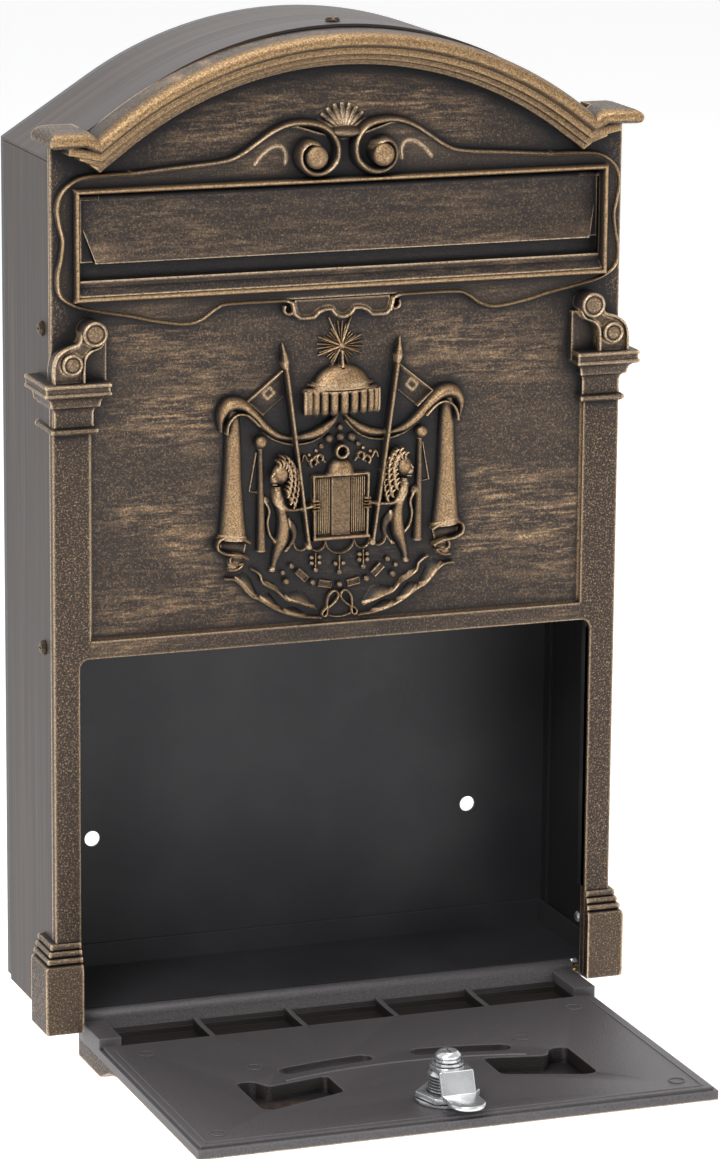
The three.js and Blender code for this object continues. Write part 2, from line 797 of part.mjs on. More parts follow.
addPiece("lock_barrel", lockBarrel(), finish.zinc);
addPiece("lock_washer", lockWasher(), finish.zinc);
addPiece("lock_nut", lockNut(), finish.zinc);
addPiece("lock_plug", lockPlug(), finish.zinc);
addPiece("lock_cam", lockCam(), finish.zinc);
addPiece("cam_washer", camRing(6.4, 1.7, CAM.top + GAP, CAM.top + GAP + 0.9), finish.zinc);
addPiece("cam_spring_washer", camRing(5, 1.7, CAM.top + 1.5, CAM.top + 2.6), finish.zinc);
const camScrew = addPiece(
  "cam_screw",
  screwShape({ head: 5.2, height: 3.1, shank: 1.5, length: 8 }),
  finish.zinc,
);
camScrew.position.set(LOCK.x, LOCK.y, CAM.top + 2.9);

for (const { name, side, z } of SIDE_SCREWS) {
  const screw = addPiece("side_screw_" + name, screwShape(SCREW), finish.charcoal);
  screw.rotation.y = (side * Math.PI) / 2;
  screw.position.set(side * (BODY_HALF + GAP), SIDE_SCREW_Y, z);
}
const roofScrew = addPiece("roof_screw", screwShape(SCREW), finish.charcoal);
roofScrew.position.set(0, SIDE_SCREW_Y, ROOF_TOP + GAP);

for (const [name, side] of [
  ["left", -1],
  ["right", 1],
]) {
  const rivet = addPiece(
    "jamb_rivet_" + name,
    screwShape({ head: JAMB.head, height: 1.1, shank: JAMB.shank, length: 3 }),
    finish.zinc,
  );
  rivet.rotation.y = (-side * Math.PI) / 2;
  rivet.position.set(side * (DOORWAY.half - GAP), JAMB.y, JAMB.z);
}

const mailbox = new THREE.Group();
mailbox.add(assembly);

export default mailbox;
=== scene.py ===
"""Wall mailbox: a cast bronze face on a sheet body, with a letter flap, a drop-down door and a cam lock."""

import math

import bmesh
import bpy
from mathutils import Matrix, Vector


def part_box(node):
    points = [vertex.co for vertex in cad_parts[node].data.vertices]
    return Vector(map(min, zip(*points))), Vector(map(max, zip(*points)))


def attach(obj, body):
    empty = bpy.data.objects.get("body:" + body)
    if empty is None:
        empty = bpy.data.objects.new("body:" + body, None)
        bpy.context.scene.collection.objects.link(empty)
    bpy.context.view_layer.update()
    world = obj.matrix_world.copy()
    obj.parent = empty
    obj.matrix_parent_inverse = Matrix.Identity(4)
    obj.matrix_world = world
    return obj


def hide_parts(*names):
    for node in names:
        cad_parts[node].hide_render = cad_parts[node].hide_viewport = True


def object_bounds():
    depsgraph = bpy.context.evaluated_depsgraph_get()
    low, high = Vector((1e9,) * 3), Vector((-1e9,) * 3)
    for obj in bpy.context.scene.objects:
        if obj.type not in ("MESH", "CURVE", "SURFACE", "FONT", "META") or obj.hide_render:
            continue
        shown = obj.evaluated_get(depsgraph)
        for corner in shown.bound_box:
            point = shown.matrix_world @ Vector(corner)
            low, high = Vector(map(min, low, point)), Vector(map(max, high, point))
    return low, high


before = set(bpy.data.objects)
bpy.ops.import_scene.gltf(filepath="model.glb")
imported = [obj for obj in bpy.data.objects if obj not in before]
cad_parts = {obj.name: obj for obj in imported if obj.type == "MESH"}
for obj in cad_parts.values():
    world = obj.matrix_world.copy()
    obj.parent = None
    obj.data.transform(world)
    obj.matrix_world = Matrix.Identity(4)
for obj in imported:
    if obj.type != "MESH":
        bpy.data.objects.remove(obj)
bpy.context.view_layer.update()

# ---------------------------------------------------------------------------
# Shop frame: millimetres, x across, y from the casting's frame (0) back to the
# wall, z up from the body's lower edge. Pieces are drawn in it, then placed.
# ---------------------------------------------------------------------------
DEPTH = 70
FOOT = 2
WALL_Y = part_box("back_panel")[1].y
BASE_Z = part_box("side_wall_left")[0].z + FOOT / 1000
TO_ROW = Matrix.Translation((0, WALL_Y - DEPTH / 1000, BASE_Z)) @ Matrix.Scale(0.001, 4)

PLATE_HALF = 122.4
PLATE_BACK = 4
FIELD = 1.5  # depth of the casting's flat ground, which the relief stands on
PLAQUE = -1.2  # front of the raised surround of the letter slot
CROWN = 402.5
CROWN_RADIUS = 168
CROWN_CENTRE = CROWN - CROWN_RADIUS
EAR_TOP = 367
VALLEY_X = 106
CROWN_REACH = math.degrees(math.asin(VALLEY_X / CROWN_RADIUS))
SLOT_OPENING = (111.7, 306.4, 341.4)  # half width, low and high
SLOT_MIDDLE = 320
DOORWAY_HALF = 111.4
DOORWAY_TOP = 151.5
DOOR_FACE = -12.4
DOOR_PANEL = -7.2
LOCK_X = 2
LOCK_Y = -122.8


def row_y(depth):
    """Where a depth in the shop frame lies in the shared frame."""
    return (TO_ROW @ Vector((0, depth, 0))).y


def row_z(height):
    """Where a height in the shop frame lies in the shared frame."""
    return (TO_ROW @ Vector((0, 0, height))).z


# ---------------------------------------------------------------------------
# Mesh tools
# ---------------------------------------------------------------------------
def store(name, bm, material, body, angle=38, stands_for=()):
    """Turns a finished bmesh into a placed, shaded piece that rides on a body."""
    bmesh.ops.remove_doubles(bm, verts=bm.verts, dist=0.002)
    bmesh.ops.recalc_face_normals(bm, faces=bm.faces)
    for face in bm.faces:
        face.smooth = True
    for edge in bm.edges:
        edge.smooth = len(edge.link_faces) == 2 and edge.calc_face_angle(0) < math.radians(angle)
    bmesh.ops.transform(bm, matrix=TO_ROW, verts=bm.verts)
    mesh = bpy.data.meshes.new(name)
    bm.to_mesh(mesh)
    bm.free()
    mesh.materials.append(material)
    piece = bpy.data.objects.new(name, mesh)
    bpy.context.scene.collection.objects.link(piece)
    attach(piece, body)
    if stands_for:
        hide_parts(*stands_for)


def only(geom, kind):
    """The vertices, edges or faces among an operator's results."""
    return [item for item in geom if isinstance(item, kind)]


def closed_ring(bm, places):
    """Edges of a new closed ring through the places."""
    verts = [bm.verts.new(place) for place in places]
    return verts, [bm.edges.new(pair) for pair in zip(verts, verts[1:] + verts[:1])]


def drawn_on(bm, edges):
    """Extrudes a ring of edges in place, and gives its new vertices and its new ring."""
    geom = bmesh.ops.extrude_edge_only(bm, edges=edges)["geom"]
    moved = set(only(geom, bmesh.types.BMVert))
    return moved, [edge for edge in only(geom, bmesh.types.BMEdge) if set(edge.verts) <= moved]


def round_edges(bm, edges, width, steps=2):
    bmesh.ops.bevel(
        bm,
        geom=list(edges),
        offset=width,
        offset_type="OFFSET",
        segments=steps,
        profile=0.5,
        affect="EDGES",
        clamp_overlap=True,
        material=-1,
    )


def join(target, part):
    """Adds a finished part to a larger mesh."""
    mesh = bpy.data.meshes.new("part")
    part.to_mesh(mesh)
    part.free()
    target.from_mesh(mesh)
    bpy.data.meshes.remove(mesh)


def block(target, x, y, z, edge=0.4, steps=2):
    """A box between (low, high) pairs with rounded edges."""
    bm = bmesh.new()
    size = Vector((x[1] - x[0], y[1] - y[0], z[1] - z[0]))
    middle = Vector((x[1] + x[0], y[1] + y[0], z[1] + z[0])) / 2
    bmesh.ops.create_cube(bm, size=1)
    place = Matrix.Translation(middle) @ Matrix.Diagonal((*size, 1))
    bmesh.ops.transform(bm, matrix=place, verts=bm.verts)
    if edge:
        round_edges(bm, bm.edges, min(edge, min(size) * 0.45), steps)
    join(target, bm)


def raised(target, outline, base, front, edge=0.5, steps=2, opening=None):
    """A flat pad with the given (x, z) outline and a rounded front edge."""
    bm = bmesh.new()
    verts = [bm.verts.new((x, base, z)) for x, z in outline]
    face = bm.faces.new(verts)
    face.normal_update()
    if face.normal.y > 0:
        face.normal_flip()
    lifted = bmesh.ops.extrude_face_region(bm, geom=[face])["geom"]
    bmesh.ops.translate(bm, vec=(0, front - base, 0), verts=only(lifted, bmesh.types.BMVert))
    if edge:
        top = only(lifted, bmesh.types.BMFace)
        round_edges(bm, {e for f in top for e in f.edges}, edge, steps)
    if opening:
        punch(bm, *opening)
    join(target, bm)


def punch(bm, half, low, high):
    """Cuts a rectangular opening through a plate: slices it, lifts the middle out, closes the sides."""
    for place, normal in [
        ((half, 0, 0), (1, 0, 0)),
        ((-half, 0, 0), (-1, 0, 0)),
        ((0, 0, low), (0, 0, -1)),
        ((0, 0, high), (0, 0, 1)),
    ]:
        geom = bm.verts[:] + bm.edges[:] + bm.faces[:]
        bmesh.ops.bisect_plane(bm, geom=geom, plane_co=place, plane_no=normal, dist=0.001)
    middle = [
        face
        for face in bm.faces
        if abs(face.calc_center_median().x) < half and low < face.calc_center_median().z < high
        and abs(face.normal.y) > 0.5
    ]
    bmesh.ops.delete(bm, geom=middle, context="FACES")
    rim = [edge for edge in bm.edges if edge.is_boundary]
    bmesh.ops.bridge_loops(bm, edges=rim)


def mound(target, x, z, half, height, rise, base=FIELD, foot=None):
    """An ellipsoid half sunk in the ground, cut level at its foot."""
    bm = bmesh.new()
    bmesh.ops.create_uvsphere(bm, u_segments=28, v_segments=16, radius=1)
    place = Matrix.Translation((x, base, z)) @ Matrix.Diagonal((half, rise, height, 1))
    bmesh.ops.transform(bm, matrix=place, verts=bm.verts)
    if foot is not None:
        geom = bm.verts[:] + bm.edges[:] + bm.faces[:]
        cut = bmesh.ops.bisect_plane(
            bm, geom=geom, plane_co=(0, 0, foot), plane_no=(0, 0, 1), clear_inner=True, dist=0.001
        )
        bmesh.ops.contextual_create(bm, geom=only(cut["geom_cut"], bmesh.types.BMEdge))
    join(target, bm)


def ball(target, x, z, radius, base=FIELD, stretch=1.0):
    """A ball sunk in the ground to a little below its middle."""
    bm = bmesh.new()
    bmesh.ops.create_uvsphere(bm, u_segments=14, v_segments=9, radius=radius)
    place = Matrix.Translation((x, base - radius * 0.35, z)) @ Matrix.Diagonal((1, 1, stretch, 1))
    bmesh.ops.transform(bm, matrix=place, verts=bm.verts)
    join(target, bm)


def sweep(target, ring, frames):
    """Carries a closed ring of (u, v) points through a list of matrices."""
    bm = bmesh.new()
    first = closed_ring(bm, [frames[0] @ Vector((u, v, 0)) for u, v in ring])[1]
    edges = first
    for before, after in zip(frames, frames[1:]):
        moved, edges = drawn_on(bm, edges)
        bmesh.ops.transform(bm, matrix=after @ before.inverted(), verts=list(moved))
    bmesh.ops.contextual_create(bm, geom=first)
    bmesh.ops.contextual_create(bm, geom=edges)
    join(target, bm)


def basis(u, v, t, origin):
    """The matrix that takes u, v and t steps from an origin."""
    return Matrix((
        (u[0], v[0], t[0], origin[0]),
        (u[1], v[1], t[1], origin[1]),
        (u[2], v[2], t[2], origin[2]),
        (0, 0, 0, 1),
    ))


# Rings of (u, v) points, u across a rib and v out of the ground, each about 1 in half width and rise.
HALF_ROUND = [(math.cos(math.pi * k / 8), math.sin(math.pi * k / 8)) for k in range(9)]
HALF_ROUND += [(-0.9, -0.7), (0.9, -0.7)]
FLAT_TOP = [(1, -0.2), (1, 0.82), (0.95, 0.95), (0.86, 1), (-0.86, 1), (-0.95, 0.95), (-1, 0.82), (-1, -0.2)]
WEDGE = [(1, -0.7), (1, 0.7), (0.94, 0.92), (0.8, 1), (0.45, 0.8), (0, 0.48), (-0.5, 0.2), (-1, -0.05)]
WEDGE += [(-1, -0.7)]


def bead(bm, path, width, rise, base=FIELD, closed=False, ring=HALF_ROUND):
    """A half-round rib along (x, z) points. width and rise are numbers, or lists of stations along it."""
    frames = []
    count = len(path)
    for index, (x, z) in enumerate(path):
        before = path[index - 1] if index or closed else path[0]
        after = path[(index + 1) % count] if index < count - 1 or closed else path[-1]
        run = Vector((after[0] - before[0], after[1] - before[1])).normalized()
        share = index / max(count - 1, 1)
        half = station(width, share)
        across = (run.y * half, 0, -run.x * half)
        out = (0, -station(rise, share), 0)
        frames.append(basis(across, out, (run.x, 0, run.y), (x, base, z)))
    if closed:
        frames.append(frames[0])
    sweep(bm, ring, frames)


def level_bead(bm, path, width, rise, base):
    """A half-round rib along (x, y) points on a level face."""
    frames = []
    for index, (x, y) in enumerate(path):
        before = path[max(index - 1, 0)]
        after = path[min(index + 1, len(path) - 1)]
        run = Vector((after[0] - before[0], after[1] - before[1])).normalized()
        across = (run.y * width, -run.x * width, 0)
        frames.append(basis(across, (0, 0, rise), (run.x, run.y, 0), (x, y, base)))
    sweep(bm, HALF_ROUND, frames)


def band(bm, one_side, other_side, rise, base=FIELD, ring=HALF_ROUND):
    """Relief that fills the strip between two (x, z) lines and swells across it."""
    frames = []
    count = len(one_side)
    for index, (a, b) in enumerate(zip(one_side, other_side)):
        lift = station(rise, index / (count - 1))
        half = ((a[0] - b[0]) / 2, 0, (a[1] - b[1]) / 2)
        middle = ((a[0] + b[0]) / 2, base, (a[1] + b[1]) / 2)
        frames.append(basis(half, (0, -lift, 0), (-half[2], 0, half[0]), middle))
    sweep(bm, ring, frames)


def station(value, share):
    """The value at a share of the way along: a number, or a list spread evenly."""
    if not isinstance(value, (list, tuple)):
        return value
    place = share * (len(value) - 1)
    index = min(int(place), len(value) - 2)
    return value[index] + (value[index + 1] - value[index]) * (place - index)


def flow(points, steps=6, closed=False):
    """A smooth curve through (x, z) points."""
    count = len(points)
    curve = []
    spans = count if closed else count - 1
    for index in range(spans):
        near = [index - 1, index, index + 1, index + 2]
        if closed:
            near = [k % count for k in near]
        else:
            near = [min(max(k, 0), count - 1) for k in near]
        p0, p1, p2, p3 = (Vector(points[k]) for k in near)
        for step in range(steps):
            t = step / steps
            place = 0.5 * (
                2 * p1
                + (p2 - p0) * t
                + (2 * p0 - 5 * p1 + 4 * p2 - p3) * t * t
                + (3 * p1 - p0 - 3 * p2 + p3) * t ** 3
            )
            curve.append((place.x, place.y))
    if not closed:
        curve.append(tuple(points[-1]))
    return curve


def arc(x, z, radius, start, end, steps=16):
    """Points on a circle between two angles in degrees, counted from +x towards +z."""
    angles = [math.radians(start + (end - start) * k / steps) for k in range(steps + 1)]
    return [(x + radius * math.cos(a), z + radius * math.sin(a)) for a in angles]


def flip(points, side):
    """The same points on the left (-1) or right (1) half."""
    return [(side * x, z) for x, z in points]


def turned(target, profile, centre, axis="z", steps=32):
    """A closed profile of (radius, height) points spun about an axis through centre."""
    bm = bmesh.new()
    verts, edges = closed_ring(bm, [(r, 0, h) for r, h in profile])
    bmesh.ops.spin(
        bm,
        geom=verts + edges,
        cent=(0, 0, 0),
        axis=(0, 0, 1),
        angle=math.tau,
        steps=steps,
        use_merge=True,
        use_duplicate=False,
    )
    bmesh.ops.remove_doubles(bm, verts=bm.verts, dist=0.001)
    tilt = Matrix.Identity(4)
    if axis == "y":
        tilt = Matrix.Rotation(math.radians(90), 4, "X")
    if axis == "x":
        tilt = Matrix.Rotation(math.radians(90), 4, "Y")
    bmesh.ops.transform(bm, matrix=Matrix.Translation(centre) @ tilt, verts=bm.verts)
    join(target, bm)


# ---------------------------------------------------------------------------
# Materials
# ---------------------------------------------------------------------------
class Recipe:
    """A short hand for one node material."""

    def __init__(self, name):
        self.material = bpy.data.materials.new(name)
        self.material.use_nodes = True
        self.tree = self.material.node_tree
        self.shader = self.tree.nodes["Principled BSDF"]
        self.place = self.add("ShaderNodeTexCoord").outputs["Object"]

    def add(self, kind, **settings):
        node = self.tree.nodes.new(kind)
        for key, value in settings.items():
            setattr(node, key, value)
        return node

    def plug(self, socket, value):
        if isinstance(value, bpy.types.NodeSocket):
            self.tree.links.new(value, socket)
        else:
            socket.default_value = value

    def stretched(self, x, y, z):
        node = self.add("ShaderNodeMapping")
        self.plug(node.inputs["Vector"], self.place)
        node.inputs["Scale"].default_value = (x, y, z)
        return node.outputs["Vector"]

    def noise(self, scale, detail=3, rough=0.55, where=None):
        node = self.add("ShaderNodeTexNoise")
        self.plug(node.inputs["Vector"], where or self.place)
        node.inputs["Scale"].default_value = scale
        node.inputs["Detail"].default_value = detail
        node.inputs["Roughness"].default_value = rough
        return node.outputs["Fac"]

    def spread(self, value, low, high, to_low=0.0, to_high=1.0):
        """Eases from to_low to to_high as the value goes from low to high."""
        node = self.add("ShaderNodeMapRange", interpolation_type="SMOOTHSTEP")
        self.plug(node.inputs["Value"], value)
        node.inputs["From Min"].default_value = low
        node.inputs["From Max"].default_value = high
        node.inputs["To Min"].default_value = to_low
        self.plug(node.inputs["To Max"], to_high)
        return node.outputs["Result"]

    def math(self, operation, a, b=0.0, clamp=False):
        node = self.add("ShaderNodeMath", operation=operation, use_clamp=clamp)
        self.plug(node.inputs[0], a)
        self.plug(node.inputs[1], b)
        return node.outputs[0]

    def mix(self, share, a, b):
        node = self.add("ShaderNodeMix", data_type="RGBA")
        self.plug(node.inputs["Factor"], share)
        self.plug(node.inputs["A"], a)
        self.plug(node.inputs["B"], b)
        return node.outputs["Result"]

    def blend(self, share, a, b):
        node = self.add("ShaderNodeMix", data_type="FLOAT")
        self.plug(node.inputs["Factor"], share)
        self.plug(node.inputs["A"], a)
        self.plug(node.inputs["B"], b)
        return node.outputs["Result"]

    def axis(self, letter):
        node = self.add("ShaderNodeSeparateXYZ")
        self.plug(node.inputs["Vector"], self.place)
        return node.outputs[letter]

    def bump(self, height, strength, distance):
        node = self.add("ShaderNodeBump")
        self.plug(node.inputs["Height"], height)
        node.inputs["Strength"].default_value = strength
        node.inputs["Distance"].default_value = distance
        self.plug(self.shader.inputs["Normal"], node.outputs["Normal"])

    def finish(self, color, metallic, roughness):
        self.plug(self.shader.inputs["Base Color"], color)
        self.plug(self.shader.inputs["Metallic"], metallic)
        self.plug(self.shader.inputs["Roughness"], roughness)
        return self.material


def rgb(red, green, blue):
    return (red, green, blue, 1)


def times(recipe, first, *others):
    """The product of several values."""
    for other in others:
        first = recipe.math("MULTIPLY", first, other)
    return first


def worn_edges(recipe, distance):
    """1 on outer corners and thin ribs, 0 on broad flats: it looks for the far side under the surface."""
    node = recipe.add("ShaderNodeAmbientOcclusion", samples=6, inside=True, only_local=True)
    node.inputs["Distance"].default_value = distance
    return recipe.spread(node.outputs["AO"], 0.92, 0.62)


def openness(recipe, distance):
    """1 in the open, less in corners and beside raised work."""
    node = recipe.add("ShaderNodeAmbientOcclusion", samples=8)
    node.inputs["Distance"].default_value = distance
    return node.outputs["AO"]


def crest_shade(recipe):
    """Little dry-brushing behind the crest, all of it outside an oval round it."""
    centre = row_z(206)
    half_width = 0.054
    half_height = 0.057
    across = times(recipe, recipe.axis("X"), 1 / half_width)
    along = times(recipe, recipe.math("SUBTRACT", recipe.axis("Z"), centre), 1 / half_height)
    reach = recipe.math("ADD", times(recipe, across, across), times(recipe, along, along))
    return recipe.spread(reach, 0.55, 1.3, 0.22, 1.0)


def brush_strokes(recipe, speck, clear, field):
    """Level streaks of bronze, in patches and broken by the grain."""
    fine = recipe.noise(1, 5, 0.7, recipe.stretched(80, 90, 620))
    thick = recipe.noise(1, 3, 0.6, recipe.stretched(20, 60, 150))
    patch = recipe.noise(1, 3, 0.55, recipe.stretched(12, 12, 26))
    hairs = recipe.spread(fine, 0.46, 0.66, 0.0, 0.7)
    swipes = recipe.spread(thick, 0.48, 0.70, 0.0, 0.5)
    return times(
        recipe,
        recipe.math("ADD", hairs, swipes),
        recipe.spread(patch, 0.40, 0.62, 0.10, 1.0),
        recipe.spread(speck, 0.36, 0.60, 0.25, 1.0),
        times(recipe, clear, field),
    )


def brushed_and_lit_fronts(recipe):
    """1 where the surface looks forward and up, less towards the sides and the underside: the dry brush
    catches the fronts, and this also paints the fronts and tops lighter and the sides darker as a painted
    top light.
    """
    geometry = recipe.add("ShaderNodeNewGeometry")
    split = recipe.add("ShaderNodeSeparateXYZ")
    recipe.plug(split.inputs["Vector"], geometry.outputs["Normal"])
    forward = recipe.math("SUBTRACT", times(recipe, split.outputs["Z"], 0.45), split.outputs["Y"])
    return recipe.spread(forward, 0.45, 1.0, 0.10, 1.0)


def bronze_tone(recipe, grain, rub, warm, painted_glint):
    """The dry-brushed bronze, yellower with warm, and with a painted pale highlight on its rubbed edges."""
    green = 0.476 - 0.026 * warm
    blue = 0.310 - 0.075 * warm
    shaded = rgb(0.32, 0.42 * green, 0.36 * blue)
    tone = recipe.mix(recipe.spread(grain, 0.3, 0.7), shaded, rgb(0.68, green, blue))
    # Rubbed edges are mixed towards pale gold: a painted highlight standing in for glints of light.
    return recipe.mix(recipe.spread(rub, 0.45, 1.0, 0.0, painted_glint), tone, rgb(0.98, 0.78, 0.54))


def charcoal_coating(recipe, grain, edge):
    """Charcoal of the door's inner face, painted lighter than the body's charcoal as a sheen, with painted
    shade in its corners and the darkest painted shade down in its hollows.
    """
    # The lighter charcoal is a painted sheen of the satin coat.
    coat = recipe.mix(recipe.spread(grain, 0.35, 0.7), rgb(0.078, 0.071, 0.075), rgb(0.118, 0.108, 0.113))
    coat = recipe.mix(times(recipe, edge, 0.4), coat, rgb(0.17, 0.16, 0.165))
    # Painted shade: darker where corners and walls close in.
    corners = recipe.spread(openness(recipe, 0.01), 0.9, 0.35, 0.0, 0.7)
    coat = recipe.mix(corners, coat, rgb(0.028, 0.026, 0.029))
    lip = row_z(DOOR_PANEL - 0.3)
    front_margin = row_y(-141)
    # Painted shade: the walls and floors of the pockets and slots below the panel go near black.
    hollow_shade = times(
        recipe,
        recipe.spread(recipe.math("ABSOLUTE", recipe.axis("X")), 0.1078, 0.1074),
        recipe.spread(recipe.axis("Y"), front_margin, front_margin + 0.0005),
        recipe.spread(recipe.axis("Z"), lip + 0.0001, lip - 0.0002),
    )
    return recipe.mix(hollow_shade, coat, rgb(0.020, 0.016, 0.015))


def antique_bronze(
    name, streaks=1.0, gilt=1.0, front_plane=-4.5, wear=0.0014, warm=0.3, painted_glint=0.65, charcoal_inside=False
):
    """Dark lacquer with bronze dry-brushed over it.

    streaks: strength of the level brush strokes. gilt: bronze on whatever stands out to front_plane, fullest
    on fronts and tops, which also paints them lighter than the sides as a painted top light.
    wear: metres over which edges and thin ribs rub through; the rubbed edges also get a painted pale
    highlight.
    charcoal_inside: coats the door's inner face, with a painted sheen and painted shade in its corners and
    hollows.
    """
    recipe = Recipe(name)
    proud = recipe.spread(recipe.axis("Y"), row_y(FIELD) - 0.0006, row_y(front_plane))
    edge = worn_edges(recipe, wear)
    near = openness(recipe, 0.003)
    far = openness(recipe, 0.015)
    grain = recipe.noise(1500, 2, 0.6)
    speck = recipe.noise(1350, 3, 0.75)
    clear = times(recipe, recipe.spread(far, 0.66, 1.0), crest_shade(recipe))
    field = recipe.spread(recipe.math("ABSOLUTE", recipe.axis("X")), 0.1074, 0.1062)
    strokes = times(recipe, brush_strokes(recipe, speck, clear, field), streaks)
    rub = times(recipe, edge, recipe.spread(near, 0.30, 0.72), recipe.spread(speck, 0.32, 0.56, 0.45, 1.0))
    # Bronze on proud work, fullest where it faces front and up: partly where the dry brush lands, partly
    # painted top light with painted shade on the sides.
    lift = times(
        recipe,
        proud,
        recipe.spread(near, 0.5, 0.96),
        recipe.spread(far, 0.3, 0.85),
        brushed_and_lit_fronts(recipe),
        recipe.spread(speck, 0.36, 0.62, 0.45 * gilt, gilt),
    )
    dust = recipe.spread(recipe.noise(1250, 2, 0.85), 0.50, 0.70, 0.0, recipe.blend(field, 0.76, 0.38))
    mask = recipe.math("MAXIMUM", recipe.math("MAXIMUM", strokes, rub), lift)
    mask = recipe.math("ADD", mask, times(recipe, dust, clear), clamp=True)
    lacquer = recipe.mix(clear, rgb(0.0075, 0.0075, 0.010), rgb(0.040, 0.0285, 0.0225))
    lacquer = recipe.mix(recipe.spread(grain, 0.35, 0.7, 0.0, 0.7), lacquer, rgb(0.018, 0.0145, 0.0135))
    color = recipe.mix(mask, lacquer, bronze_tone(recipe, grain, rub, warm, painted_glint))
    metallic = recipe.spread(mask, 0.0, 0.8, 0.35, 0.92)
    roughness = recipe.blend(mask, recipe.spread(grain, 0.3, 0.7, 0.44, 0.58), 0.38)
    recipe.bump(recipe.math("ADD", times(recipe, grain, 0.6), times(recipe, speck, 0.7)), 0.75, 0.00035)
    if charcoal_inside:
        under = row_z(DOOR_FACE + 0.4)
        inside = recipe.spread(recipe.axis("Z"), under - 0.0003, under + 0.0003)
        color = recipe.mix(inside, color, charcoal_coating(recipe, grain, edge))
        metallic = recipe.blend(inside, metallic, 0.15)
        roughness = recipe.blend(inside, roughness, 0.40)
    return recipe.finish(color, metallic, roughness)


def brushed_sheet(name):
    """Dark bronze lacquer brushed in one direction, plain charcoal on its inner side."""
    recipe = Recipe(name)
    fine = recipe.noise(1, 5, 0.62, recipe.stretched(7, 1500, 7))
    broad = recipe.noise(1, 3, 0.5, recipe.stretched(4, 240, 4))
    drift = recipe.noise(1, 2, 0.5, recipe.stretched(6, 26, 6))
    tone = recipe.mix(recipe.spread(broad, 0.35, 0.65), rgb(0.046, 0.035, 0.031), rgb(0.063, 0.047, 0.040))
    tone = recipe.mix(recipe.spread(fine, 0.50, 0.76, 0.0, 0.45), tone, rgb(0.17, 0.125, 0.092))
    tone = recipe.mix(recipe.spread(drift, 0.4, 0.7, 0.0, 0.5), tone, rgb(0.058, 0.046, 0.043))
    front = row_y(21)
    behind = recipe.spread(recipe.axis("Y"), front, front + 0.003)
    roof = recipe.spread(recipe.axis("Z"), BASE_Z + 0.3535, BASE_Z + 0.3545)
    roof_front = times(recipe, roof, recipe.math("SUBTRACT", 1.0, behind))
    tone = recipe.mix(times(recipe, roof_front, 0.75), tone, rgb(0.070, 0.058, 0.056))
    width = recipe.math("ABSOLUTE", recipe.axis("X"))
    inner = times(recipe, recipe.spread(width, 0.1216, 0.1214), recipe.math("SUBTRACT", 1.0, roof))
    tone = recipe.mix(inner, tone, rgb(0.03, 0.029, 0.031))
    edge = worn_edges(recipe, 0.0004)
    tone = recipe.mix(times(recipe, edge, 0.12), tone, rgb(0.34, 0.26, 0.18))
    recipe.bump(recipe.noise(1, 3, 0.6, recipe.stretched(8, 2200, 8)), 0.14, 0.0001)
    roughness = recipe.spread(fine, 0.3, 0.7, 0.54, 0.44)
    return recipe.finish(tone, 0.5, roughness)


def charcoal_coat(name):
    """Satin near-black powder coat."""
    recipe = Recipe(name)
    grain = recipe.noise(1400, 3, 0.6)
    cloud = recipe.noise(18, 3, 0.5)
    edge = worn_edges(recipe, 0.0006)
    tone = recipe.mix(recipe.spread(cloud, 0.35, 0.7), rgb(0.030, 0.029, 0.032), rgb(0.044, 0.042, 0.045))
    tone = recipe.mix(times(recipe, edge, 0.35), tone, rgb(0.075, 0.073, 0.075))
    recipe.bump(grain, 0.22, 0.00012)
    return recipe.finish(tone, 0.25, recipe.spread(grain, 0.3, 0.7, 0.36, 0.46))


def bright_zinc(name):
    """Bright plating with faint turning marks, and painted shade in its grooves and crevices."""
    recipe = Recipe(name)
    stain = recipe.noise(90, 4, 0.6)
    tone = recipe.mix(recipe.spread(stain, 0.35, 0.7), rgb(0.76, 0.78, 0.79), rgb(0.90, 0.91, 0.91))
    # Painted shade: darker down in thread valleys and tight corners.
    groove_shade = recipe.spread(openness(recipe, 0.0013), 0.92, 0.45, 0.0, 0.75)
    tone = recipe.mix(groove_shade, tone, rgb(0.10, 0.10, 0.11))
    recipe.bump(recipe.noise(1, 3, 0.6, recipe.stretched(900, 300, 2500)), 0.06, 0.0001)
    return recipe.finish(tone, 0.86, recipe.spread(stain, 0.3, 0.7, 0.24, 0.32))


def plain_brass(name):
    recipe = Recipe(name)
    stain = recipe.noise(420, 4, 0.6)
    tone = recipe.mix(recipe.spread(stain, 0.35, 0.7), rgb(0.36, 0.235, 0.09), rgb(0.62, 0.44, 0.19))
    return recipe.finish(tone, 1.0, recipe.spread(stain, 0.3, 0.7, 0.25, 0.42))


def bronzed_steel(name):
    recipe = Recipe(name)
    stain = recipe.noise(900, 4, 0.6)
    edge = worn_edges(recipe, 0.0004)
    tone = recipe.mix(recipe.spread(stain, 0.35, 0.7), rgb(0.035, 0.028, 0.022), rgb(0.10, 0.072, 0.045))
    tone = recipe.mix(times(recipe, edge, 0.7), tone, rgb(0.42, 0.32, 0.2))
    return recipe.finish(tone, 0.85, 0.38)


